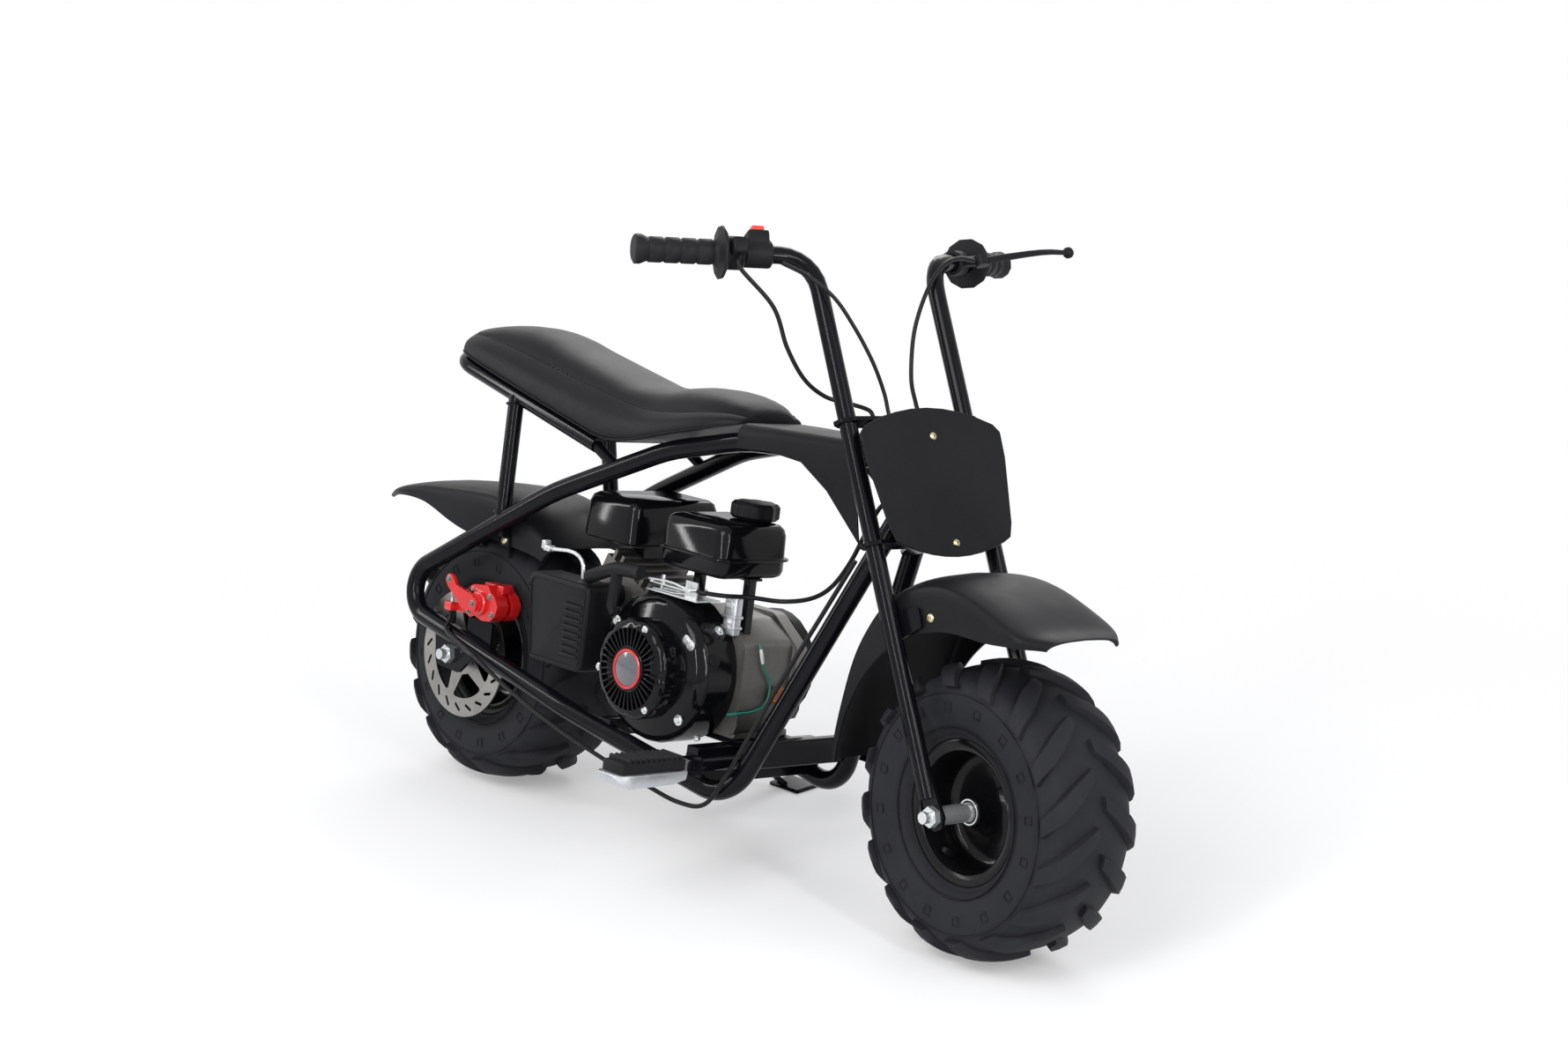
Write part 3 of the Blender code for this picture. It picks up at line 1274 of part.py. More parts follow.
def fork_leg():
    """Return the left fork leg, which carries on upward as the handlebar."""
    corners = [
        Corner(FORK_AHEAD, FORK_HALF_SPACING, 0.022, 0.0),
        Corner(*BAR_CORNER, BAR_BEND),
        Corner(*(GRIP_END - BAR_REACH * 0.004), 0.0),
    ]
    leg = sweep(bent_path(corners), FORK_RADIUS, TUBE_SIDES)
    low = FORK_HALF_SPACING - 0.0025
    tab = prism(rounded([(0.022, 0.060), (0.022, -0.004), (0.030, -0.017), (0.044, -0.017), (0.051, -0.004),
                         (0.040, 0.060)], 0.004), low, low + 0.005, "xz",
                [circle(around(AXLE_RADIUS, TUBE_SIDES), TUBE_SIDES, (AXLE_AHEAD, 0.0))])
    ear = prism(rounded([(0.020, 0.214), (0.072, 0.220), (0.074, 0.244), (0.020, 0.252)], 0.004),
                FENDER_HALF_WIDTH + CLEARANCE, FORK_HALF_SPACING - FORK_RADIUS + 0.003)
    return united(leg, tab, ear)


def along_bar(bm):
    """Place a body turned about +X onto the left grip, its origin at the grip's flange."""
    turn = BAR_REACH.to_track_quat("X", "Z").to_matrix().to_4x4()
    return moved(bm, Matrix.Translation(GRIP_START) @ turn)


def bar_point(x, y, z, side):
    """Return the fork frame's point for a place given along one of the two bars."""
    turn = BAR_REACH.to_track_quat("X", "Z").to_matrix()
    point = GRIP_START + turn @ Vector((x, y, z))
    return Vector((point.x, side * point.y, point.z))


def grip():
    """Return a rubber grip with its flange, ribs and closed end."""
    length = GRIP_LENGTH
    bore = around(FORK_RADIUS, TUBE_SIDES)
    profile = [(0.0, bore), (0.0, 0.030), (0.002, 0.033), (0.005, 0.033), (0.007, 0.020), (0.010, 0.0165)]
    ribs = 4
    pitch = (length - 0.030) / ribs
    for k in range(ribs):
        start = 0.014 + pitch * k
        profile += [(start, 0.0145), (start + 0.002, 0.0160), (start + pitch - 0.004, 0.0160),
                    (start + pitch - 0.002, 0.0145)]
    profile += [(length - 0.009, 0.0185), (length - 0.002, 0.0185), (length, 0.015), (length, 0.0),
                (length - 0.0037, 0.0), (length - 0.0037, bore)]
    return along_bar(turned(profile, TUBE_SIDES, "X"))


def bar_collar(low, high, radius):
    """Return a collar round the handlebar, placed from the grip's flange inward."""
    bore = around(FORK_RADIUS, TUBE_SIDES)
    return along_bar(turned([(low, bore), (low, radius - 0.002), (low + 0.002, radius), (high - 0.002,
                                                                                         radius),
                             (high, radius - 0.002), (high, bore)], TUBE_SIDES, "X"))


def bar_bore():
    """Return the cutter that keeps a fitting clear of the handlebar."""
    return along_bar(rod((-0.08, 0, 0), (0.02, 0, 0), around(FORK_RADIUS, TUBE_SIDES), TUBE_SIDES))


def number_plate():
    """Return the blank plate with its crowned top and bottom."""
    def arc(start, end, rise):
        points = []
        for k in range(9):
            t = k / 8
            across = start[0] + (end[0] - start[0]) * t
            height = start[1] + (end[1] - start[1]) * t + rise * (1 - (2 * t - 1) ** 2)
            points.append((across, height))
        return points

    top = arc((-0.106, 0.473), (0.106, 0.473), 0.022)
    side = [(0.116, 0.463), (0.115, 0.430), (0.101, 0.345), (0.094, 0.327)]
    bottom = arc((0.082, 0.321), (-0.082, 0.321), -0.016)
    other = [(-y, u) for y, u in reversed(side)]
    return prism(top + side + bottom + other, PLATE_AHEAD, PLATE_AHEAD + PLATE_THICKNESS, "yz")


def build_steering(bike):
    """Add everything that turns with the handlebar, apart from the wheel."""
    leg = fork_leg()
    bike.piece("fork_leg_right", mirrored(leg), "frame_paint", bike.fork)
    bike.piece("fork_leg_left", leg, "frame_paint", bike.fork)
    nut_low = UPPER_CLAMP + CLAMP_THICKNESS / 2 + CLEARANCE
    stem_low = LOWER_CLAMP
    stem = rod((0, 0, stem_low), (0, 0, nut_low + 0.014), STEM_RADIUS, TUBE_SIDES)
    nut = rod((0, 0, nut_low), (0, 0, nut_low + 0.010), 0.018, 6)
    bike.piece("lower_clamp", united(clamp(LOWER_CLAMP), stem, nut), "frame_paint", bike.fork)
    bore = rod((0, 0, UPPER_CLAMP - 0.02), (0, 0, UPPER_CLAMP + 0.02), around(STEM_RADIUS, TUBE_SIDES),
               TUBE_SIDES)
    bike.piece("upper_clamp", cut(clamp(UPPER_CLAMP), bore), "frame_paint", bike.fork)
    bike.piece("number_plate", number_plate(), "fender_plastic", bike.fork)

    left_grip = grip()
    bike.piece("grip_right", mirrored(left_grip), "grip_rubber", bike.fork)
    bike.piece("grip_left", left_grip, "grip_rubber", bike.fork)
    housing = united(bar_collar(-0.024, -CLEARANCE, 0.021),
                     along_bar(block((-0.023, -0.034, -0.010), (-0.004, -0.014, 0.010), 0.003)))
    bike.piece("throttle_housing", mirrored(housing), "matte_plastic", bike.fork)
    housing.free()
    pod = cut(united(bar_collar(-0.060, -0.0246, 0.0175),
                     along_bar(block((-0.057, -0.013, 0.008), (-0.030, 0.013, 0.028), 0.003))), bar_bore())
    bike.piece("switch_pod", mirrored(pod), "matte_plastic", bike.fork)
    pod.free()
    button = along_bar(block((-0.052, -0.008, 0.028 + CLEARANCE), (-0.036, 0.008, 0.035), 0.002))
    bike.piece("kill_button", mirrored(button), "switch_red", bike.fork)
    button.free()

    pivot = BAR_CORNER + Vector((0.0159, 0.077, -0.0015))
    clamp_body = united(bar_collar(-0.048, -0.020, 0.0165),
                        rod(pivot + Vector((0, 0, 0.007)), pivot - Vector((0, 0, 0.007)), 0.009, TUBE_SIDES),
                        sweep([pivot, BAR_CORNER + Vector((-0.018, 0.074, 0.0095))], 0.007, PIN_SIDES))
    bike.piece("brake_perch", cut(clamp_body, bar_bore()), "matte_plastic", bike.fork)
    tip = BAR_CORNER + Vector((0.0368, 0.217, 0.0071))
    blade_start = pivot + Vector((0.0018, 0.0085, 0.0002))
    route = smooth_path([blade_start, BAR_CORNER + Vector((0.028, 0.117, 0.0015)),
                         BAR_CORNER + Vector((0.040, 0.170, 0.0050)), tip], 9)
    blade = sweep(route, lambda p: 0.0052 - 0.0018 * (p.y - pivot.y) / (tip.y - pivot.y), PIN_SIDES)
    ball = bmesh.new()
    bmesh.ops.create_uvsphere(ball, u_segments=10, v_segments=6, radius=0.0078,
                              matrix=Matrix.Translation(tip))
    eye = cut(blade, rod(pivot + Vector((0, 0, 0.012)), pivot - Vector((0, 0, 0.012)), 0.009 + CLEARANCE,
                         TUBE_SIDES))
    bike.piece("brake_lever", united(eye, ball), "matte_plastic", bike.fork)

    front = axle(0.120, (HUB_HALF_LENGTH + 0.0008, FORK_HALF_SPACING - 0.0025 - CLEARANCE),
                 FORK_HALF_SPACING + 0.0025 + CLEARANCE)
    bike.piece("front_axle", front, "zinc_steel", bike.level)
    rows = [
        (63, 0.262, 0.012, 0.004, FENDER_HALF_WIDTH * 0.70),
        (70, 0.256, 0.012, 0.012, FENDER_HALF_WIDTH * 0.97),
        (82, 0.264, 0.017, 0.030, FENDER_HALF_WIDTH),
        (100, 0.282, 0.020, 0.046, FENDER_HALF_WIDTH),
        (118, 0.282, 0.020, 0.046, FENDER_HALF_WIDTH),
        (135, 0.261, 0.018, 0.030, FENDER_HALF_WIDTH),
        (155, 0.233, 0.014, 0.012, FENDER_HALF_WIDTH),
        (176, 0.221, 0.010, 0.006, FENDER_HALF_WIDTH * 0.97),
    ]
    bike.piece("front_fender", polar_fender(rows, (0.0, 0.0)), "fender_plastic", bike.level, 50.0)

    clamp_top = UPPER_CLAMP + CLAMP_THICKNESS / 2 + CLEARANCE
    right_corner = Vector((BAR_CORNER.x, -BAR_CORNER.y, BAR_CORNER.z))

    def from_corner(corner, x, y, z):
        return corner + Vector((x, y, z))

    bike.cable("throttle_cable", [bar_point(-0.0135, -0.024, -0.0118, -1),
                                  bar_point(-0.0135, -0.024, -0.028, -1),
                                  from_corner(right_corner, -0.014, -0.067, -0.062),
                                  from_corner(right_corner, -0.033, -0.042, -0.107),
                                  (-0.018, -0.110, 0.560), (-0.020, -0.080, 0.538),
                                  (-0.008, -0.054, 0.525), (0.010, -0.042, 0.511),
                                  (0.014, -0.040, 0.501), (0.014, -0.040, clamp_top)], 0.0055, bike.fork)
    bike.cable("switch_lead", [from_corner(right_corner, 0.004, -0.054, -0.012),
                               from_corner(right_corner, 0.020, -0.032, -0.034),
                               from_corner(right_corner, 0.025, -0.002, -0.062),
                               from_corner(right_corner, 0.023, 0.023, -0.100), (0.047, -0.052, 0.560),
                               (0.038, -0.036, 0.525), (0.034, -0.032, 0.503),
                               (0.034, -0.032, clamp_top)], 0.0050, bike.fork)
    bike.cable("brake_cable_bar", [from_corner(BAR_CORNER, 0.017, 0.062, -0.002),
                                   from_corner(BAR_CORNER, 0.019, 0.032, -0.001),
                                   from_corner(BAR_CORNER, 0.017, 0.004, -0.012),
                                   from_corner(BAR_CORNER, 0.006, -0.021, -0.041), (0.020, 0.055, 0.612),
                                   (0.009, 0.043, 0.555), (0.012, 0.038, 0.520), (0.014, 0.038, 0.501),
                                   (0.014, 0.038, clamp_top)], 0.0055, bike.fork)


# Pegs and stand

def build_pegs(bike):
    """Add the folding footpegs, each a metal tray with a ribbed rubber block on it."""
    bar_x, bar_z = PEG_BAR
    for name, side in (("left", 1), ("right", -1)):
        hinge = bike.carrier("footpeg_hinge_" + name, bike.root,
                             Matrix.Translation((bar_x, side * PEG_HINGE_OFFSET, bar_z)))
        tongue = prism(rounded([(-0.008, -0.008), (0.030, -0.008), (0.030, 0.008), (-0.008, 0.008)], 0.0075,
                               4),
                       -0.009, 0.009, "yz", [circle(around(0.004, PIN_SIDES), PIN_SIDES)])
        tray = loft([[(x, y, z) for x, z in rounded([(-w, low), (w, low), (w + 0.002, 0.0), (-w - 0.002,
                                                                                             0.0)],
                                                    0.002, 2)]
                     for y, w, low in ((0.0185, 0.021, -0.012), (0.040, 0.023, -0.016), (0.110, 0.023,
                                                                                         -0.018),
                                       (0.126, 0.021, -0.010), (0.134, 0.014, -0.003))])
        peg = united(tongue, tray)
        teeth = []
        start = 0.024
        pitch = 0.0085
        for k in range(11):
            y = start + pitch * k
            teeth += [(y, 0.017), (y + 0.001, 0.0195), (y + pitch - 0.0025, 0.0195), (y + pitch - 0.0015,
                                                                                      0.017)]
        outline = [(0.0195, CLEARANCE), (0.0195, 0.015)] + teeth + [(0.124, 0.015), (0.124, CLEARANCE)]
        rubber = prism(outline, -0.019, 0.019, "yz")
        tongue_room = block((-0.009 - CLEARANCE, 0.0, -0.010), (0.009 + CLEARANCE, 0.030 + CLEARANCE,
                                                                0.008 + CLEARANCE))
        rubber = cut(rubber, tongue_room)
        if side < 0:
            peg, rubber = mirrored(peg), mirrored(rubber)
        bike.piece("footpeg_" + name, peg, "peg_aluminium", hinge)
        bike.piece("footpeg_rubber_" + name, rubber, "grip_rubber", hinge)


def stand_frame():
    """Return the stand's own frame: +X along the leg, +Z on the pivot's axis."""
    leg = (STAND_FOOT - STAND_PIVOT).normalized()
    axis = leg.cross(STAND_FOLD).normalized()
    across = axis.cross(leg)
    turn = Matrix((leg, across, axis)).transposed().to_4x4()
    return Matrix.Translation(STAND_PIVOT) @ turn


def stand_bracket():
    """Return the lug welded under the left lower tube for the stand's pivot."""
    half = STAND_STRIP / 2
    place = stand_frame()
    corners = loop_corners()
    share = (corners[1].x - STAND_PIVOT.x) / (corners[1].x - corners[2].x)
    share = min(share, 1.0)
    tube_point = Vector(corners[1][:3]).lerp(Vector(corners[2][:3]), share)
    target = place.inverted() @ tube_point
    toward = Vector((target.x, target.y)).normalized()
    aside = Vector((-toward.y, toward.x))
    near = -toward * 0.012
    far = Vector((target.x, target.y))
    outline = [near - aside * 0.013, far - aside * 0.016, far + aside * 0.016, near + aside * 0.013]
    lug = prism(rounded([tuple(p) for p in outline], 0.004), half + CLEARANCE, target.z + 0.002, "xy")
    pin = rod((0, 0, -half - 0.004), (0, 0, half + 0.003), 0.005, BAR_SIDES)
    head = rod((0, 0, -half - 0.005), (0, 0, -half - CLEARANCE), 0.009, 6)
    return moved(united(lug, pin, head), place)


def build_stand(bike):
    """Add the side stand: a flat leg on its pivot with a foot pad laid on the ground."""
    place = stand_frame()
    hinge = bike.carrier("stand_hinge", bike.root, place)
    length = (STAND_FOOT - STAND_PIVOT).length
    half = STAND_STRIP / 2
    outline = rounded([(-0.013, -0.012), (length, -0.011), (length, 0.011), (-0.013, 0.012)], 0.009, 4)
    leg = prism(outline, -half, half, "xy", [circle(around(0.005, BAR_SIDES), BAR_SIDES)])
    up = Vector((0, -math.sin(LEAN), math.cos(LEAN)))
    forward = (Vector((1, 0, 0)) - up * up.x).normalized()
    side = up.cross(forward)
    pad_turn = Matrix((forward, side, up)).transposed().to_4x4()
    pad = block((-0.024, -0.010, -0.0045), (0.034, 0.034, 0.0015), 0.002, 1)
    pad = moved(pad, place.inverted() @ Matrix.Translation(STAND_FOOT) @ pad_turn)
    bike.piece("side_stand", united(leg, pad), "frame_paint", hinge)


# Rest pose

def lowest(objects, frame, up):
    """Return the point of some objects that lies lowest along a direction, in a carrier's frame."""
    graph = bpy.context.evaluated_depsgraph_get()
    back = frame.matrix_world.inverted()
    best = None
    for item in objects:
        shape = item.evaluated_get(graph)
        matrix = back @ item.matrix_world
        for vert in shape.data.vertices:
            point = matrix @ vert.co
            if best is None or point.dot(up) < best.dot(up):
                best = point
    return best


def rest_on_ground(bike):
    """Lean the bike until both tyres and the stand's foot touch height 0, and centre its box."""
    bpy.context.view_layer.update()
    data = bpy.data.objects
    groups = [[data["rear_tyre"]], [data["front_tyre"]], [data["side_stand"]]]
    up = Vector((0, -math.sin(LEAN), math.cos(LEAN)))
    for _ in range(12):
        rear, front, foot = (lowest(group, bike.root, up) for group in groups)
        up = (front - rear).cross(foot - rear).normalized()
    forward = (Vector((1, 0, 0)) - up * up.x).normalized()
    turn = Matrix((forward, up.cross(forward), up)).to_4x4()
    bike.root.matrix_local = turn
    bpy.context.view_layer.update()
    graph = bpy.context.evaluated_depsgraph_get()
    low = Vector((math.inf,) * 3)
    high = Vector((-math.inf,) * 3)
    for item in bpy.context.scene.objects:
        if item.type == "EMPTY":
            continue
        shape = item.evaluated_get(graph).to_mesh()
        for vert in shape.vertices:
            point = item.matrix_world @ vert.co
            low = Vector(map(min, low, point))
            high = Vector(map(max, high, point))
    shift = Vector((-(low.x + high.x) / 2, -(low.y + high.y) / 2, -low.z))
    bike.root.matrix_local = Matrix.Translation(shift) @ turn
    bpy.context.view_layer.update()


def main():
    """Build the whole bike in an empty scene."""
    for item in list(bpy.data.objects):
        bpy.data.objects.remove(item, do_unlink=True)
    bike = Bike()
    build_wheels(bike)
    build_frame(bike)
    build_bodywork(bike)
    build_engine(bike)
    build_running_gear(bike)
    build_steering(bike)
    build_pegs(bike)
    build_stand(bike)
    rest_on_ground(bike)


if __name__ == "__main__":
    main()
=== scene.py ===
"""Looks of a small minibike parked on its side stand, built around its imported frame.

The bike frame has +X forward, +Y to the rider's left, +Z up, with its origin under the rear
axle. It is found from the wheel's and the steering's axes, so every piece follows the pack.
"""

import json
import logging
import math
from dataclasses import dataclass, field
from enum import Enum
from typing import Callable, Optional, Sequence

import bmesh
import bpy
from mathutils import Matrix, Vector

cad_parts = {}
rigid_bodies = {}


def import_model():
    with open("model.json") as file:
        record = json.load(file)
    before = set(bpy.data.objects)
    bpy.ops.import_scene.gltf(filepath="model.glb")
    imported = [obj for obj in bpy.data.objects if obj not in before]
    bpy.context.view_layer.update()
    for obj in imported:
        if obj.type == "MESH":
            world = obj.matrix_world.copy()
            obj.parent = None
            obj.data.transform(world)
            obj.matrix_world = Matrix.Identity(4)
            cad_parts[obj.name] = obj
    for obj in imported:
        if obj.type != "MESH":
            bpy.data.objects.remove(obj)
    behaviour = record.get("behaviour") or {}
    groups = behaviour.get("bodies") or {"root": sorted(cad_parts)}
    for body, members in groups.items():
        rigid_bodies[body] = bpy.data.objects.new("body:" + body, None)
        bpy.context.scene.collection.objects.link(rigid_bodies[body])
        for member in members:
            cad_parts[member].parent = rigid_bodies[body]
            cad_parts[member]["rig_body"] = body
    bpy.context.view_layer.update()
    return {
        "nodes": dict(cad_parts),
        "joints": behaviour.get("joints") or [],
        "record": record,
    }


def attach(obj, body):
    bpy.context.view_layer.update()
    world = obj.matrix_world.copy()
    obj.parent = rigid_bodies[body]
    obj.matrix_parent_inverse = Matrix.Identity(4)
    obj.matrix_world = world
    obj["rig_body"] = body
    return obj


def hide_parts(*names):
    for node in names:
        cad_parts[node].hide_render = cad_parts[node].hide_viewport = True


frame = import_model()

LOG = logging.getLogger("minibike")
Point = Sequence[float]

RAKE = math.radians(26.3)
PARKED_STEER = math.radians(-5.0)
REAR_AXLE = Vector((0.0, 0.0, 0.180))
AXLE_AHEAD = 0.0367
GAP = 0.0004
CRANK_X, CRANK_Z = 0.405, 0.246
COWL_FACE = -0.1152
SEAT_LINE = 0.5746
SEAT_SLOPE = -0.233
SEAT_SHEET = 0.003
PEG_HINGE = Vector((0.550, 0.165, 0.1535))


class Body(Enum):
    """The bodies that pieces ride on."""

    FRAME = "frame"
    FORK = "fork"
    FRONT_WHEEL = "front_wheel"
    REAR_WHEEL = "rear_wheel"
    STAND = "side_stand"
    PEG_LEFT = "footpeg_left"
    PEG_RIGHT = "footpeg_right"


class Grain(Enum):
    """The fine relief of a surface."""

    ORANGE_PEEL = "orange_peel"
    MOULDED = "moulded"
    VINYL = "vinyl"
    RUBBER = "rubber"
    CAST = "cast"
    BRUSHED = "brushed"
    PLATED = "plated"
    SHEATH = "sheath"


# Shaders

class Signal:
    """A shader socket whose operators add Math nodes."""

    def __init__(self, nodes: "Nodes", socket: bpy.types.NodeSocket) -> None:
        """Wrap one output socket of a tree."""
        self.nodes = nodes
        self.socket = socket

    def _with(self, operation: str, other: object, swap: bool = False) -> "Signal":
        """Return this signal and another one, or a number, through a Math node.

        Args:
            operation: The Math node's operation.
            other: A signal or a number.
            swap: Whether the other one comes first.

        Returns:
            The Math node's result.
        """
        pair = (other, self) if swap else (self, other)
        return self.nodes.node("ShaderNodeMath", {"operation": operation}, {0: pair[0], 1: pair[1]})

    def __add__(self, other: object) -> "Signal":
        """Return the sum."""
        return self._with("ADD", other)

    def __radd__(self, other: object) -> "Signal":
        """Return the sum, with the number first."""
        return self._with("ADD", other, True)

    def __mul__(self, other: object) -> "Signal":
        """Return the product."""
        return self._with("MULTIPLY", other)

    def __rmul__(self, other: object) -> "Signal":
        """Return the product, with the number first."""
        return self._with("MULTIPLY", other, True)

    def larger(self, other: object) -> "Signal":
        """Return the larger of the two."""
        return self._with("MAXIMUM", other)

    def spread(self, low: float, high: float, start: float = 0.0, end: float = 1.0) -> "Signal":
        """Return the signal mapped from one range to another and clamped there.

        Args:
            low: The value that becomes start.
            high: The value that becomes end.
            start: The first value given out.
            end: The last value given out.

        Returns:
            The mapped signal.
        """
        return self.nodes.node("ShaderNodeMapRange", {"clamp": True},
                               {"Value": self, "From Min": low, "From Max": high,
                                "To Min": start, "To Max": end}, "Result")


class Nodes:
    """A shader tree whose nodes are all made by one method."""

    def __init__(self, tree: bpy.types.NodeTree) -> None:
        """Work on one tree."""
        self.tree = tree

    def node(self, kind: str, settings: dict, inputs: dict, output: object = 0) -> Signal:
        """Add a node, set it up and link its inputs.

        Args:
            kind: The node's type.
            settings: Its properties, set before its sockets; stops holds a ramp's stops.
            inputs: A value or a signal for each socket, by name or by index.
            output: The output that is returned, by name or by index.

        Returns:
            The chosen output as a signal.
        """
        made = self.tree.nodes.new(kind)
        for key, value in settings.items():
            if key == "stops":
                self._set_stops(made.color_ramp, value)
            else:
                setattr(made, key, value)
        for key, value in inputs.items():
            if isinstance(value, Signal):
                self.tree.links.new(value.socket, made.inputs[key])
            else:
                made.inputs[key].default_value = value
        return Signal(self, made.outputs[output])

    @staticmethod
    def _set_stops(ramp: bpy.types.ColorRamp, stops: Sequence[tuple[float, Point]]) -> None:
        """Give a ramp its stops."""
        while len(ramp.elements) < len(stops):
            ramp.elements.new(1.0)
        for element, (where, colour) in zip(ramp.elements, stops):
            element.position = where
            element.color = (*colour, 1.0)

    def finish(self, surface: Signal, output: str) -> None:
        """Link a surface to the tree's output node."""
        self.tree.links.new(surface.socket, self.tree.nodes[output].inputs[0])


class Shader(Nodes):
    """One material's node tree."""

    def __init__(self, name: str) -> None:
        """Start a material with its Principled shader."""
        self.material = bpy.data.materials.new(name)
        self.material.use_nodes = True
        super().__init__(self.material.node_tree)
        self.surface = self.tree.nodes["Principled BSDF"]
        self.place = self.node("ShaderNodeTexCoord", {}, {}, "Object")

    def noise(self, scale: float, detail: float = 3.0, roughness: float = 0.5,
              stretch: Point = (1.0, 1.0, 1.0)) -> Signal:
        """Return a noise from 0 to 1 over the object's own coordinates.

        Args:
            scale: Features per metre.
            detail: Octaves.
            roughness: Share that each finer octave keeps.
            stretch: Scale along each axis.

        Returns:
            The noise factor.
        """
        place = self.node("ShaderNodeMapping", {}, {"Vector": self.place, "Scale": stretch}, "Vector")
        return self.node("ShaderNodeTexNoise", {}, {"Vector": place, "Scale": scale, "Detail": detail,
                                                    "Roughness": roughness}, "Fac")

    def cells(self, scale: float, feature: str = "F1") -> Signal:
        """Return the distance to the nearest cell's centre or edge."""
        return self.node("ShaderNodeTexVoronoi", {"feature": feature},
                         {"Vector": self.place, "Scale": scale}, "Distance")

    def blend(self, share: object, first: Point, second: Point) -> Signal:
        """Return a colour between two, by a share from 0 to 1."""
        return self.node("ShaderNodeMix", {"data_type": "RGBA"},
                         {"Factor": share, 6: (*first, 1.0), 7: (*second, 1.0)}, 2)

    def feed(self, name: str, value: Signal) -> None:
        """Link a signal to one of the Principled shader's sockets."""
        self.tree.links.new(value.socket, self.surface.inputs[name])

    def fix(self, name: str, value: object) -> None:
        """Set one of the Principled shader's sockets to a constant."""
        self.surface.inputs[name].default_value = value

    def relief(self, height: Signal, distance: float, strength: float) -> None:
        """Feed a height through a Bump node to the shader's normal."""
        bump = {"Height": height, "Distance": distance, "Strength": strength}
        self.feed("Normal", self.node("ShaderNodeBump", {}, bump, "Normal"))


@dataclass(frozen=True)
class Finish:
    """One surface finish of the bike, with the record's slot that it belongs to."""

    slot: str
    colour: tuple[float, float, float]
    worn: tuple[float, float, float]
    smooth: float
    rough: float
    grain: Grain
    metallic: float = 0.0
    coat: float = 0.0
    specular: float = 0.5
    name: str = ""

    def build(self) -> bpy.types.Material:
        """Make the finish's material.

        Returns:
            A material whose colour, roughness and relief vary over the surface.
        """
        shader = Shader(self.name or self.slot)
        broad = shader.noise(9.0, 4.0, 0.6)
        fine = shader.noise(160.0, 3.0, 0.6)
        patches = (broad * 0.75 + fine * 0.25).spread(0.34, 0.72)
        shader.feed("Base Color", shader.blend(patches, self.colour, self.worn))
        shader.feed("Roughness", patches.spread(0.0, 1.0, self.smooth, self.rough))
        shader.fix("Metallic", self.metallic)
        shader.fix("Coat Weight", self.coat)
        shader.fix("Coat Roughness", 0.06)
        shader.fix("Specular IOR Level", self.specular)
        height, distance, strength = self._height(shader)
        shader.relief(height, distance, strength)
        return shader.material

    def _height(self, shader: Shader) -> tuple[Signal, float, float]:
        """Return the finish's relief.

        Args:
            shader: The shader that the relief's nodes are made in.

        Returns:
            The height, its depth in metres and its strength.
        """
        if self.grain is Grain.ORANGE_PEEL:
            return shader.noise(420.0, 2.0, 0.4), 0.00012, 0.35
        if self.grain is Grain.MOULDED:
            return shader.noise(1900.0, 3.0, 0.6) * 0.7 + shader.noise(300.0) * 0.3, 0.00022, 0.45
        if self.grain is Grain.VINYL:
            creases = shader.cells(520.0, "DISTANCE_TO_EDGE").spread(0.0, 0.22)
            return creases * 0.8 + shader.noise(40.0, 3.0, 0.5) * 0.8, 0.00030, 0.42
        if self.grain is Grain.RUBBER:
            return shader.noise(700.0, 4.0, 0.65) * 0.6 + shader.noise(55.0, 3.0, 0.6) * 0.6, 0.00045, 0.5
        if self.grain is Grain.CAST:
            return shader.noise(900.0, 4.0, 0.7) + shader.cells(620.0) * 0.5, 0.00040, 0.6
        if self.grain is Grain.BRUSHED:
            return shader.noise(380.0, 2.0, 0.5, (1.0, 6.0, 14.0)), 0.00010, 0.4
        if self.grain is Grain.PLATED:
            return shader.noise(1300.0, 2.0, 0.5), 0.00010, 0.35
        return shader.noise(1100.0, 2.0, 0.5), 0.00018, 0.4


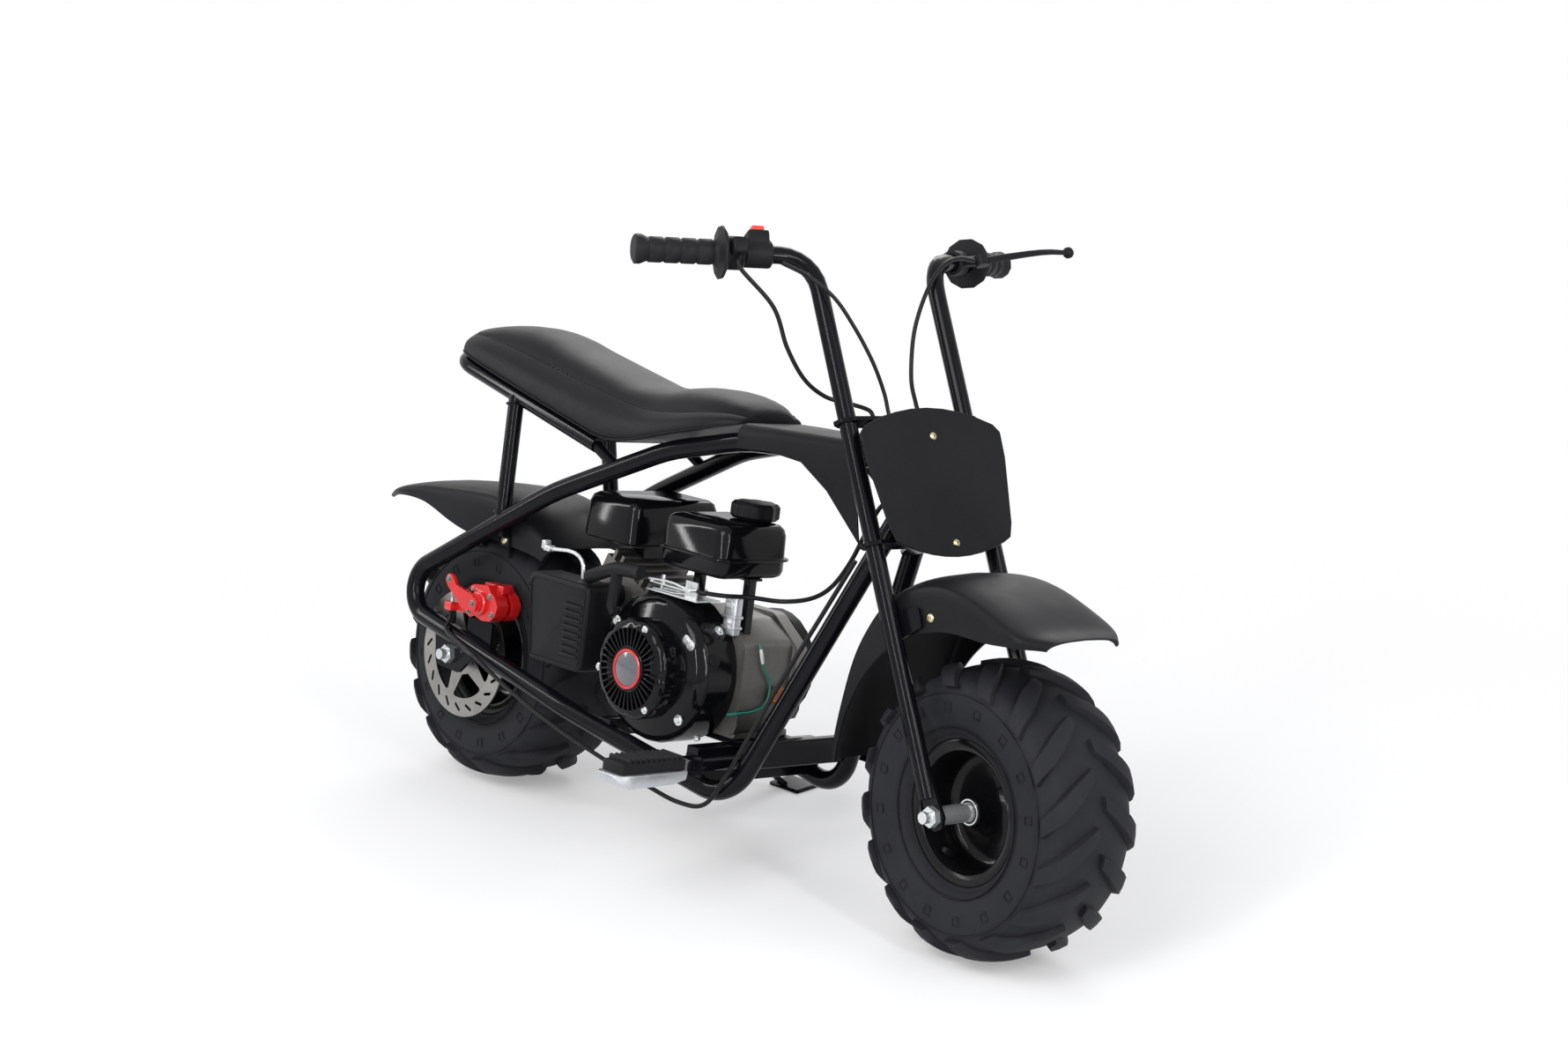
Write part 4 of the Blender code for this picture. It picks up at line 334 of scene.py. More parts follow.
FINISHES = {
    "frame_paint": Finish("frame_paint", (0.0028, 0.0030, 0.0044), (0.0048, 0.0050, 0.0068), 0.09, 0.18,
                          Grain.ORANGE_PEEL, specular=0.13),
    "engine_paint": Finish("engine_paint", (0.0024, 0.0025, 0.0031), (0.0042, 0.0043, 0.0052), 0.06, 0.13,
                           Grain.ORANGE_PEEL, specular=0.17),
    "rim_paint": Finish("rim_paint", (0.0034, 0.0034, 0.0040), (0.0060, 0.0060, 0.0068), 0.13, 0.24,
                        Grain.ORANGE_PEEL, specular=0.18),
    "matte_plastic": Finish("matte_plastic", (0.0066, 0.0066, 0.0076), (0.0125, 0.0125, 0.0140), 0.38, 0.56,
                            Grain.MOULDED, specular=0.11),
    "fender_plastic": Finish("fender_plastic", (0.0056, 0.0059, 0.0070), (0.0098, 0.0102, 0.0118), 0.34, 0.50,
                             Grain.MOULDED, specular=0.11),
    "tyre_rubber": Finish("tyre_rubber", (0.0100, 0.0106, 0.0132), (0.0210, 0.0215, 0.0245), 0.50, 0.76,
                          Grain.RUBBER, specular=0.13),
    "grip_rubber": Finish("grip_rubber", (0.0090, 0.0092, 0.0104), (0.0160, 0.0160, 0.0170), 0.42, 0.62,
                          Grain.RUBBER, specular=0.12),
    "seat_vinyl": Finish("seat_vinyl", (0.0050, 0.0050, 0.0062), (0.0088, 0.0088, 0.0104), 0.30, 0.44,
                         Grain.VINYL, specular=0.13),
    "brushed_steel": Finish("brushed_steel", (0.23, 0.225, 0.215), (0.38, 0.37, 0.35), 0.26, 0.42,
                            Grain.BRUSHED, metallic=1.0),
    "zinc_steel": Finish("zinc_steel", (0.56, 0.58, 0.60), (0.72, 0.73, 0.72), 0.20, 0.38,
                         Grain.PLATED, metallic=0.8),
    "yellow_zinc": Finish("zinc_steel", (0.42, 0.37, 0.20), (0.60, 0.56, 0.40), 0.22, 0.40,
                          Grain.PLATED, metallic=1.0, name="yellow_zinc"),
    "chain_steel": Finish("chain_steel", (0.20, 0.19, 0.18), (0.34, 0.33, 0.31), 0.30, 0.52,
                          Grain.PLATED, metallic=1.0),
    "cast_aluminium": Finish("cast_aluminium", (0.120, 0.118, 0.112), (0.205, 0.200, 0.190), 0.34, 0.50,
                             Grain.CAST, metallic=0.85),
    "peg_aluminium": Finish("peg_aluminium", (0.50, 0.52, 0.55), (0.70, 0.71, 0.74), 0.28, 0.44,
                            Grain.CAST, metallic=0.9),
    "caliper_red": Finish("caliper_red", (0.52, 0.008, 0.010), (0.64, 0.016, 0.014), 0.18, 0.32,
                          Grain.ORANGE_PEEL, coat=0.4),
    "switch_red": Finish("switch_red", (0.70, 0.020, 0.012), (0.80, 0.040, 0.020), 0.26, 0.40, Grain.MOULDED),
    "cable_sheath": Finish("cable_sheath", (0.0060, 0.0060, 0.0068), (0.0110, 0.0110, 0.0115), 0.24, 0.40,
                           Grain.SHEATH, specular=0.15),
    "teal_wire": Finish("cable_sheath", (0.000, 0.145, 0.100), (0.004, 0.200, 0.145), 0.28, 0.42,
                        Grain.SHEATH, name="teal_wire"),
    "clear_sleeve": Finish("cable_sheath", (0.60, 0.61, 0.61), (0.74, 0.74, 0.74), 0.14, 0.30,
                           Grain.SHEATH, name="clear_sleeve"),
    "oil_plug": Finish("matte_plastic", (0.26, 0.070, 0.012), (0.33, 0.100, 0.022), 0.28, 0.42,
                       Grain.MOULDED, name="oil_plug"),
    "badge_grey": Finish("engine_paint", (0.075, 0.078, 0.090), (0.100, 0.104, 0.118), 0.16, 0.28,
                         Grain.ORANGE_PEEL, coat=0.5, name="badge_grey"),
}


# Mesh tools

def cleaned(bm: bmesh.types.BMesh) -> bmesh.types.BMesh:
    """Weld doubled points and turn every closed shell outward."""
    bmesh.ops.remove_doubles(bm, verts=bm.verts, dist=1e-6)
    bmesh.ops.dissolve_degenerate(bm, edges=bm.edges, dist=1e-7)
    bmesh.ops.recalc_face_normals(bm, faces=bm.faces)
    return bm


def rounded(points: Sequence[Point], radius: float, steps: int = 6) -> list[tuple[float, float]]:
    """Return a flat outline with its corners rounded by arcs.

    Args:
        points: The outline's corners.
        radius: The arcs' radius.
        steps: Chords for each arc.

    Returns:
        The outline's points.
    """
    outline = []
    count = len(points)
    for i, point in enumerate(points):
        here = Vector(point)
        before = (Vector(points[i - 1]) - here).normalized()
        after = (Vector(points[(i + 1) % count]) - here).normalized()
        half = before.angle(after) / 2
        reach = radius / math.tan(half)
        centre = here + (before + after).normalized() * (radius / math.sin(half))
        first = here + before * reach - centre
        last = here + after * reach - centre
        sweep_angle = first.angle_signed(last)
        for k in range(steps + 1):
            arm = first.copy()
            arm.rotate(Matrix.Rotation(-sweep_angle * k / steps, 2))
            outline.append(tuple(centre + arm))
    return outline


def circle(radius: float, sides: int, centre: Point = (0.0, 0.0)) -> list[tuple[float, float]]:
    """Return points round a circle."""
    return [(centre[0] + radius * math.cos(2 * math.pi * i / sides),
             centre[1] + radius * math.sin(2 * math.pi * i / sides)) for i in range(sides)]


def prism(outline: Sequence[Point], low: float, high: float, plane: str = "xz",
          holes: Sequence[Sequence[Point]] = ()) -> bmesh.types.BMesh:
    """Return an outline with its holes, extruded from low to high across its plane.

    Args:
        outline: The outer loop.
        low: Where the extrusion starts.
        high: Where it ends.
        plane: The two axes that the outline lies in.
        holes: Inner loops.

    Returns:
        The closed body.
    """
    bm = bmesh.new()
    order = {"xz": (0, 2, 1), "xy": (0, 1, 2), "yz": (1, 2, 0)}[plane]
    for loop in (outline, *holes):
        verts = []
        for point in loop:
            place = [0.0, 0.0, 0.0]
            place[order[0]] = point[0]
            place[order[1]] = point[1]
            place[order[2]] = low
            verts.append(bm.verts.new(place))
        for i, vert in enumerate(verts):
            bm.edges.new((verts[i - 1], vert))
    bmesh.ops.triangle_fill(bm, use_beauty=True, use_dissolve=False, edges=bm.edges)
    shift = [0.0, 0.0, 0.0]
    shift[order[2]] = high - low
    grown = bmesh.ops.extrude_face_region(bm, geom=bm.faces[:], use_keep_orig=True)
    moved = [item for item in grown["geom"] if isinstance(item, bmesh.types.BMVert)]
    bmesh.ops.translate(bm, verts=moved, vec=shift)
    return cleaned(bm)


def turned(profile: Sequence[Point], sides: int = 96, axis: str = "Y",
           wave: Optional[Callable[[float, float], float]] = None) -> bmesh.types.BMesh:
    """Return a closed (axial, radius) profile turned about an axis through the origin.

    Args:
        profile: The section's points.
        sides: Steps round the axis.
        axis: The axis it turns about.
        wave: A scale of the radius by angle and radius, for scalloped rims.

    Returns:
        The closed body.
    """
    bm = bmesh.new()
    rings = []
    for i in range(sides):
        angle = 2 * math.pi * i / sides
        ring = []
        for along, radius in profile:
            reach = radius * (wave(angle, radius) if wave else 1.0)
            across, up = reach * math.cos(angle), reach * math.sin(angle)
            place = {"Y": (across, along, up), "Z": (across, up, along), "X": (along, across, up)}[axis]
            ring.append(bm.verts.new(place))
        rings.append(ring)
    count = len(profile)
    for i in range(sides):
        here, after = rings[i], rings[(i + 1) % sides]
        for k in range(count):
            last = (k + 1) % count
            if max(profile[k][1], profile[last][1]) > 1e-7:
                bm.faces.new((here[k], here[last], after[last], after[k]))
    return cleaned(bm)


def loft(rings: Sequence[Sequence[Point]]) -> bmesh.types.BMesh:
    """Return a closed body through rings of equal point count."""
    bm = bmesh.new()
    grid = [[bm.verts.new(point) for point in ring] for ring in rings]
    count = len(rings[0])
    for here, after in zip(grid, grid[1:]):
        for k in range(count):
            last = (k + 1) % count
            bm.faces.new((here[k], here[last], after[last], after[k]))
    bm.faces.new(grid[0][::-1])
    bm.faces.new(grid[-1])
    return cleaned(bm)


def block(low: Point, high: Point, bevel: float = 0.0, segments: int = 3) -> bmesh.types.BMesh:
    """Return a box between two corners, with its edges rounded."""
    bm = bmesh.new()
    size = Vector(high) - Vector(low)
    middle = (Vector(high) + Vector(low)) / 2
    bmesh.ops.create_cube(bm, size=1.0, matrix=Matrix.Translation(middle) @ Matrix.Diagonal((*size, 1)))
    if bevel:
        bmesh.ops.bevel(bm, geom=bm.edges[:], offset=bevel, segments=segments, profile=0.5, affect="EDGES")
    return cleaned(bm)


def sweep(path: Sequence[Point], radius: object, sides: int = 24) -> bmesh.types.BMesh:
    """Return a round bar along a path, its ring carried from point to point without twist.

    Args:
        path: The centre line's points.
        radius: One radius, or a function of the share of the way along.
        sides: Points round the bar.

    Returns:
        The closed body.
    """
    path = [Vector(point) for point in path]
    tangents = []
    for i in range(len(path)):
        tangents.append((path[min(i + 1, len(path) - 1)] - path[max(i - 1, 0)]).normalized())
    side = tangents[0].orthogonal().normalized()
    rings = []
    for i, (point, tangent) in enumerate(zip(path, tangents)):
        side = (side - tangent * side.dot(tangent)).normalized()
        other = tangent.cross(side)
        size = radius(i / (len(path) - 1)) if callable(radius) else radius
        turns = [2 * math.pi * k / sides for k in range(sides)]
        rings.append([point + (side * math.cos(t) + other * math.sin(t)) * size for t in turns])
    return loft(rings)


def rod(start: Point, end: Point, radius: float, sides: int = 32) -> bmesh.types.BMesh:
    """Return a straight round bar between two points."""
    return sweep([start, end], radius, sides)


def smooth_path(points: Sequence[Point], count: int) -> list[Vector]:
    """Return points along a smooth curve through the chosen ones.

    Args:
        points: The points that the curve goes through.
        count: How many points are returned.

    Returns:
        The curve's points, from the first chosen one to the last.
    """
    points = [Vector(point) for point in points]
    ends = [points[0] * 2 - points[1], *points, points[-1] * 2 - points[-2]]
    path = []
    spans = len(points) - 1
    for i in range(count):
        place = spans * i / (count - 1)
        k = min(int(place), spans - 1)
        t = place - k
        a, b, c, d = ends[k:k + 4]
        path.append(0.5 * (2 * b + (c - a) * t + (2 * a - 5 * b + 4 * c - d) * t ** 2
                           + (3 * b - a - 3 * c + d) * t ** 3))
    return path


def bent_path(corners: Sequence[Point], step: float = math.radians(5.0)) -> list[Vector]:
    """Return points along straight runs joined by arcs at the corners.

    Args:
        corners: (x, y, z, bend radius) for each corner.
        step: The largest angle of one chord.

    Returns:
        The path's points.
    """
    path = [Vector(corners[0][:3])]
    for before, corner, after in zip(corners, corners[1:], corners[2:]):
        here = Vector(corner[:3])
        back = (Vector(before[:3]) - here).normalized()
        ahead = (Vector(after[:3]) - here).normalized()
        half = back.angle(ahead) / 2
        reach = corner[3] / math.tan(half)
        centre = here + (back + ahead).normalized() * (corner[3] / math.sin(half))
        first = here + back * reach - centre
        last = here + ahead * reach - centre
        turn = first.angle(last)
        count = max(3, math.ceil(turn / step))
        axis = first.cross(last).normalized()
        for k in range(count + 1):
            path.append(centre + Matrix.Rotation(turn * k / count, 3, axis) @ first)
    path.append(Vector(corners[-1][:3]))
    return path


def gathered(*parts: bmesh.types.BMesh) -> bmesh.types.BMesh:
    """Return one mesh that holds every part, each still a closed shell."""
    whole = bmesh.new()
    for part in parts:
        mesh = bpy.data.meshes.new("part")
        part.to_mesh(mesh)
        part.free()
        whole.from_mesh(mesh)
        bpy.data.meshes.remove(mesh)
    return whole


def mirrored(bm: bmesh.types.BMesh) -> bmesh.types.BMesh:
    """Return a copy of a body on the other side of its frame, its faces still outward."""
    other = bm.copy()
    bmesh.ops.transform(other, matrix=Matrix.Diagonal((1, -1, 1, 1)), verts=other.verts)
    bmesh.ops.reverse_faces(other, faces=other.faces)
    return other


def moved(bm: bmesh.types.BMesh, matrix: Matrix) -> bmesh.types.BMesh:
    """Place a body by a matrix."""
    bmesh.ops.transform(bm, matrix=matrix, verts=bm.verts)
    return bm


def shifted(bm: bmesh.types.BMesh, offset: Point) -> bmesh.types.BMesh:
    """Place a body by an offset."""
    return moved(bm, Matrix.Translation(offset))


def hex_screw(radius: float, height: float, flange: float = 0.0) -> bmesh.types.BMesh:
    """Return a hexagon head, crowned at the top, with a flange below where one is given.

    Args:
        radius: The hexagon's outer radius.
        height: The head's height along +Z.
        flange: The flange's radius.

    Returns:
        The head, its seat at the origin.
    """
    low = -0.0012
    levels = ((low, radius), (height * 0.82, radius), (height, radius * 0.86))
    parts = [loft([[(x, y, z) for x, y in circle(size, 6)] for z, size in levels])]
    if flange:
        washer = [(low, 0.0), (low, flange), (height * 0.16, flange), (height * 0.3, radius),
                  (height * 0.3, 0.0)]
        parts.append(turned(washer, 20, "Z"))
    return gathered(*parts)


def dome_screw(radius: float, height: float) -> bmesh.types.BMesh:
    """Return a domed head with its socket sunk in, its seat at the origin."""
    profile = [(-0.0012, 0.0), (-0.0012, radius)]
    steps = 6
    for k in range(steps + 1):
        turn = math.pi / 2 * k / steps
        profile.append((height * math.sin(turn), radius * (0.32 + 0.68 * math.cos(turn))))
    profile += [(height * 0.45, radius * 0.26), (height * 0.45, 0.0)]
    return turned(profile, 24, "Z")


# Geometry Nodes

class NodeTree:
    """A Geometry Nodes tree that repeats one small shape by a rule."""

    def __init__(self, name: str, inputs: Sequence[tuple[str, str]]) -> None:
        """Start a tree with its named inputs.

        Args:
            name: The tree's name.
            inputs: (name, socket type) for each input after the geometry.
        """
        self.tree = bpy.data.node_groups.new(name, "GeometryNodeTree")
        face = self.tree.interface
        face.new_socket("Geometry", in_out="INPUT", socket_type="NodeSocketGeometry")
        self.keys = {label: face.new_socket(label, in_out="INPUT", socket_type=kind).identifier
                     for label, kind in inputs}
        face.new_socket("Geometry", in_out="OUTPUT", socket_type="NodeSocketGeometry")
        self.start = self.tree.nodes.new("NodeGroupInput")
        self.end = self.tree.nodes.new("NodeGroupOutput")

    def node(self, kind: str, settings: dict, inputs: dict) -> bpy.types.Node:
        """Add a node, set it up and link its inputs."""
        made = self.tree.nodes.new(kind)
        for key, value in settings.items():
            setattr(made, key, value)
        for key, value in inputs.items():
            if isinstance(value, bpy.types.NodeSocket):
                self.tree.links.new(value, made.inputs[key])
            else:
                made.inputs[key].default_value = value
        return made

    def close(self, instances: bpy.types.NodeSocket) -> None:
        """Realize the instances, give them their material and end the tree."""
        real = self.node("GeometryNodeRealizeInstances", {}, {0: instances})
        dressed = self.node("GeometryNodeSetMaterial", {}, {"Geometry": real.outputs[0],
                                                            "Material": self.start.outputs["Finish"]})
        self.tree.links.new(dressed.outputs[0], self.end.inputs[0])


class Repeats:
    """The trees that repeat shapes in a ring, in a row and at chosen places."""

    def __init__(self) -> None:
        """Build the three trees."""
        self.ring_tree = self._ring()
        self.row_tree = self._row()
        self.spot_tree = self._spots()

    @staticmethod
    def _ring() -> NodeTree:
        """Make the tree that turns copies of an item about the Y axis.

        Returns:
            The tree, with inputs for the count and the first copy's angle.
        """
        tree = NodeTree("ring", [("Item", "NodeSocketObject"), ("Count", "NodeSocketInt"),
                                 ("Lead", "NodeSocketFloat"), ("Finish", "NodeSocketMaterial")])
        item = tree.node("GeometryNodeObjectInfo", {}, {"Object": tree.start.outputs["Item"]})
        line = tree.node("GeometryNodeMeshLine", {}, {"Count": tree.start.outputs["Count"],
                                                      "Offset": (0.0, 0.0, 0.0)})
        index = tree.node("GeometryNodeInputIndex", {}, {})
        part = tree.node("ShaderNodeMath", {"operation": "DIVIDE"},
                         {0: index.outputs[0], 1: tree.start.outputs["Count"]})
        turn = tree.node("ShaderNodeMath", {"operation": "MULTIPLY_ADD"},
                         {0: part.outputs[0], 1: 2 * math.pi, 2: tree.start.outputs["Lead"]})
        angles = tree.node("ShaderNodeCombineXYZ", {}, {1: turn.outputs[0]})
        copies = tree.node("GeometryNodeInstanceOnPoints", {},
                           {"Points": line.outputs[0], "Instance": item.outputs["Geometry"],
                            "Rotation": angles.outputs[0]})
        tree.close(copies.outputs[0])
        return tree

    @staticmethod
    def _row() -> NodeTree:
        """Return a tree that sets copies of an item at even steps."""
        tree = NodeTree("row", [("Item", "NodeSocketObject"), ("Count", "NodeSocketInt"),
                                ("Step", "NodeSocketVector"), ("Finish", "NodeSocketMaterial")])
        item = tree.node("GeometryNodeObjectInfo", {}, {"Object": tree.start.outputs["Item"]})
        line = tree.node("GeometryNodeMeshLine", {}, {"Count": tree.start.outputs["Count"],
                                                      "Offset": tree.start.outputs["Step"]})
        copies = tree.node("GeometryNodeInstanceOnPoints", {},
                           {"Points": line.outputs[0], "Instance": item.outputs["Geometry"]})
        tree.close(copies.outputs[0])
        return tree

    @staticmethod
    def _spots() -> NodeTree:
        """Return a tree that sets an item on each point, turned as the point's attribute says."""
        tree = NodeTree("spots", [("Item", "NodeSocketObject"), ("Size", "NodeSocketFloat"),
                                  ("Finish", "NodeSocketMaterial")])
        item = tree.node("GeometryNodeObjectInfo", {}, {"Object": tree.start.outputs["Item"]})
        turn = tree.node("GeometryNodeInputNamedAttribute", {"data_type": "FLOAT_VECTOR"}, {"Name": "turn"})
        copies = tree.node("GeometryNodeInstanceOnPoints", {},
                           {"Points": tree.start.outputs["Geometry"], "Instance": item.outputs["Geometry"],
                            "Rotation": turn.outputs[0], "Scale": tree.start.outputs["Size"]})
        tree.close(copies.outputs[0])
        return tree

    @staticmethod
    def _run(tree: NodeTree, item: bmesh.types.BMesh, values: dict,
             carrier: bpy.types.Mesh) -> bmesh.types.BMesh:
        """Run a tree on a carrier mesh and return what it makes.

        Args:
            tree: The tree.
            item: The shape that is repeated, which is freed.
            values: The tree's inputs by name.
            carrier: The mesh that the modifier sits on.

        Returns:
            The repeated shapes in one mesh.
        """
        scene = bpy.context.scene.collection
        mesh = bpy.data.meshes.new("item")
        item.to_mesh(mesh)
        item.free()
        source = bpy.data.objects.new("item", mesh)
        holder = bpy.data.objects.new("holder", carrier)
        for work in (source, holder):
            scene.objects.link(work)
        modifier = holder.modifiers.new("repeat", "NODES")
        modifier.node_group = tree.tree
        for label, value in {**values, "Item": source}.items():
            modifier[tree.keys[label]] = value
        graph = bpy.context.evaluated_depsgraph_get()
        made = bpy.data.meshes.new_from_object(holder.evaluated_get(graph))
        holder.modifiers.remove(modifier)
        result = bmesh.new()
        result.from_mesh(made)
        for work in (source, holder):
            bpy.data.objects.remove(work)
        for spare in (mesh, carrier, made):
            bpy.data.meshes.remove(spare)
        return result

    def ring(self, item: bmesh.types.BMesh, count: int, lead: float = 0.0) -> bmesh.types.BMesh:
        """Return copies of an item turned evenly about the Y axis."""
        return self._run(self.ring_tree, item, {"Count": count, "Lead": lead}, bpy.data.meshes.new("ring"))

    def row(self, item: bmesh.types.BMesh, count: int, step: Point) -> bmesh.types.BMesh:
        """Return copies of an item at even steps from its own place."""
        values = {"Count": count, "Step": tuple(step)}
        return self._run(self.row_tree, item, values, bpy.data.meshes.new("row"))

    def spots(self, item: bmesh.types.BMesh, places: Sequence[tuple[Point, Point]],
              size: float = 1.0) -> bmesh.types.BMesh:
        """Return an item at each place, its +Z turned to the place's direction.

        Args:
            item: The shape that is repeated.
            places: (point, direction) pairs.
            size: A scale for every copy.

        Returns:
            The copies in one mesh.
        """
        mesh = bpy.data.meshes.new("spots")
        mesh.from_pydata([tuple(point) for point, _ in places], [], [])
        turns = mesh.attributes.new("turn", "FLOAT_VECTOR", "POINT")
        for k, (_, direction) in enumerate(places):
            turns.data[k].vector = Vector(direction).to_track_quat("Z", "Y").to_euler()
        return self._run(self.spot_tree, item, {"Size": size}, mesh)


class Workshop:
    """Turns finished meshes into pieces that ride on the bike's bodies."""

    def __init__(self) -> None:
        """Find the bike's frames from its joints and make the finishes."""
        joints = {joint["name"]: joint for joint in frame["joints"]}
        across = Vector(joints["rear_wheel_spin"]["axis"]).normalized()
        steer = Vector(joints["steering"]["axis"]).normalized()
        forward = across.cross(steer) * math.cos(RAKE) - steer * math.sin(RAKE)
        up = forward.cross(across)
        turn = Matrix((forward, across, up)).transposed().to_4x4()
        hub = Vector(joints["rear_wheel_spin"]["pos_m"])
        base = Vector(joints["steering"]["pos_m"])
        self.bike = Matrix.Translation(hub) @ turn @ Matrix.Translation(-REAR_AXLE)
        self.rear_hub = self.bike @ Matrix.Translation(REAR_AXLE)
        head = Matrix.Translation(base) @ turn @ Matrix.Rotation(-RAKE, 4, "Y")
        self.fork = head @ Matrix.Rotation(PARKED_STEER, 4, "Z")
        self.front_hub = self.fork @ Matrix.Translation((AXLE_AHEAD, 0, 0)) @ Matrix.Rotation(RAKE, 4, "Y")
        self.repeats = Repeats()
        self.materials = {name: finish.build() for name, finish in FINISHES.items()}

    def piece(self, name: str, bm: bmesh.types.BMesh, finish: str, body: Body,
              place: Optional[Matrix] = None, replaces: Sequence[str] = (), smooth: float = 35.0,
              bevel: float = 0.0, levels: int = 0) -> bpy.types.Object:
        """Add one piece: its mesh in place, its material and its body.

        Args:
            name: The piece's name.
            bm: Its mesh in its own frame, which is freed.
            finish: The name of its finish.
            body: The body that it rides on.
            place: Its frame, the bike's where none is given.
            replaces: The CAD nodes that it stands for.
            smooth: The angle in degrees above which an edge stays sharp.
            bevel: The width of a bevel on its sharp edges, or 0.
            levels: Subdivision levels, or 0.

        Returns:
            The piece's object.
        """
        moved(bm, place or self.bike)
        mesh = bpy.data.meshes.new(name)
        bm.to_mesh(mesh)
        bm.free()
        mesh.materials.clear()
        mesh.materials.append(self.materials[finish])
        mesh.shade_smooth()
        mesh.set_sharp_from_angle(angle=math.radians(smooth))
        item = bpy.data.objects.new(name, mesh)
        bpy.context.scene.collection.objects.link(item)
        if bevel:
            modifier = item.modifiers.new("edges", "BEVEL")
            modifier.width = bevel
            modifier.segments = 2
            modifier.limit_method = "ANGLE"
            modifier.angle_limit = math.radians(smooth)
            modifier.harden_normals = True
        if levels:
            modifier = item.modifiers.new("rounding", "SUBSURF")
            modifier.levels = levels
            modifier.render_levels = levels
        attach(item, body.value)
        if replaces:
            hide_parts(*replaces)
        LOG.info("%s: %d faces on %s", name, len(mesh.polygons), body.value)
        return item

    def dress(self) -> None:
        """Give each CAD node that still shows the finish of its record slot."""
        for part in frame["record"]["subparts"]:
            node = frame["nodes"][part["node"]]
            if not node.hide_render:
                for holder in node.material_slots:
                    holder.material = self.materials[part["material_slot"]]
                LOG.info("%s shows in its CAD shape", part["node"])


# Wheels

@dataclass
class Wheel:
    """A balloon tyre with chevron lugs on a dished steel rim."""

    prefix: str
    body: Body
    radius: float = 0.180
    bead: float = 0.0761
    lugs: int = 16
    marks: int = 16
    barrel: float = 0.0755
    lip: float = 0.0878
    half_width: float = 0.0564
    sheet: float = 0.003
    hub_radius: float = 0.017
    hub_half: float = 0.045
    bore: float = 0.0085
    valve_turn: float = 0.5

    def section(self) -> list[tuple[float, float]]:
        """Return the carcass's half section from the bead to the crown, as (offset, radius)."""
        shares = [(0.0525, 0.0), (0.0530, 0.060), (0.0545, 0.118), (0.0568, 0.132), (0.0570, 0.160),
                  (0.0612, 0.186), (0.0668, 0.262), (0.0705, 0.350), (0.0722, 0.440), (0.0727, 0.540),
                  (0.0718, 0.635), (0.0692, 0.722), (0.0640, 0.792), (0.0560, 0.838), (0.0450, 0.870),
                  (0.0320, 0.898), (0.0190, 0.915), (0.0, 0.924)]
        return [(offset, self.bead + share * (self.radius - self.bead)) for offset, share in shares]

    def surface(self, offset: float, lift: float) -> tuple[float, float]:
        """Return the carcass's (offset, radius) at a place from shoulder to crown, lifted off it.

        Args:
            offset: 0 at the middle of the sidewall, 1 at the crown's centre.
            lift: The height over the carcass.

        Returns:
            The lifted point of the section.
        """
        run = self.section()[9:]
        lengths = [math.dist(a, b) for a, b in zip(run, run[1:])]
        left = offset * sum(lengths)
        for (a, b), length in zip(zip(run, run[1:]), lengths):
            if left <= length + 1e-9:
                t = left / length
                normal = Vector((b[1] - a[1], a[0] - b[0])).normalized()
                return tuple(Vector(a).lerp(Vector(b), t) + normal * lift)
            left -= length
        return run[-1][0], run[-1][1] + lift

    def lug(self, side: float) -> bmesh.types.BMesh:
        """Return one lug: a curved bar from the shoulder to past the crown's centre, its end hooked.

        Args:
            side: 1 for the lugs on the left, -1 for those on the right.

        Returns:
            The lug's closed body.
        """
        steps = 11
        rings = []
        for k in range(steps):
            t = k / (steps - 1)
            where = 0.20 + 0.74 * t
            middle = -0.050 + 0.335 * t ** 0.85
            half = (0.076 + 0.026 * math.sin(math.pi * t)) * (1.0 - 0.38 * t)
            height = 0.0052 + 0.0044 * math.sin(math.pi * min(0.15 + t * 0.75, 1.0))
            ring = []
            for across, lift in ((-1.12, -0.004), (-1.0, height * 0.55), (-0.86, height),
                                 (0.0, height * 1.04),
                                 (0.86, height), (1.0, height * 0.55), (1.12, -0.004)):
                offset, radius = self.surface(where, lift)
                radius = min(radius, self.radius - 0.0002)
                angle = middle + across * half
                ring.append((radius * math.cos(angle), side * offset, radius * math.sin(angle)))
            rings.append(ring)
        return loft(rings)

    def mark(self, side: float) -> bmesh.types.BMesh:
        """Return one raised square frame of the sidewall.

        Args:
            side: 1 for the left sidewall, -1 for the right one.

        Returns:
            The frame's four bars.
        """
        parts = []
        under, over = 0.0716, 0.0735
        for low, high, first, last in ((0.1215, 0.1335, -0.042, -0.034), (0.1215, 0.1335, 0.034, 0.042),
                                       (0.1215, 0.1229, -0.036, 0.036), (0.1321, 0.1335, -0.036, 0.036)):
            corners = ((low, under), (high, under), (high, over), (low, over))
            parts.append(loft([[(radius * math.cos(angle), side * out, radius * math.sin(angle))
                                for radius, out in corners] for angle in (first, last)]))
        return gathered(*parts)

    def tyre(self, shop: Workshop) -> bmesh.types.BMesh:
        """Return the carcass with its lugs, marks and mould rings.

        Args:
            shop: The workshop, whose node trees repeat the lugs.

        Returns:
            The tyre, each lug a closed shell of its own.
        """
        half = self.section()
        full = half + [(-offset, radius) for offset, radius in reversed(half[:-1])]
        parts = [turned(full, 144)]
        for side, lead in ((1.0, 0.0), (-1.0, math.pi / self.lugs)):
            parts.append(shop.repeats.ring(self.lug(side), self.lugs, lead))
            parts.append(shop.repeats.ring(self.mark(side), self.marks, lead))
            for radius, out in ((0.1005, 0.0686), (0.1440, 0.0722)):
                ring = [(side * (out - 0.002), radius - 0.0008), (side * (out + 0.0006), radius - 0.0004),
                        (side * (out + 0.0006), radius + 0.0004), (side * (out - 0.002), radius + 0.0008)]
                parts.append(turned(ring, 120))
        return gathered(*parts)

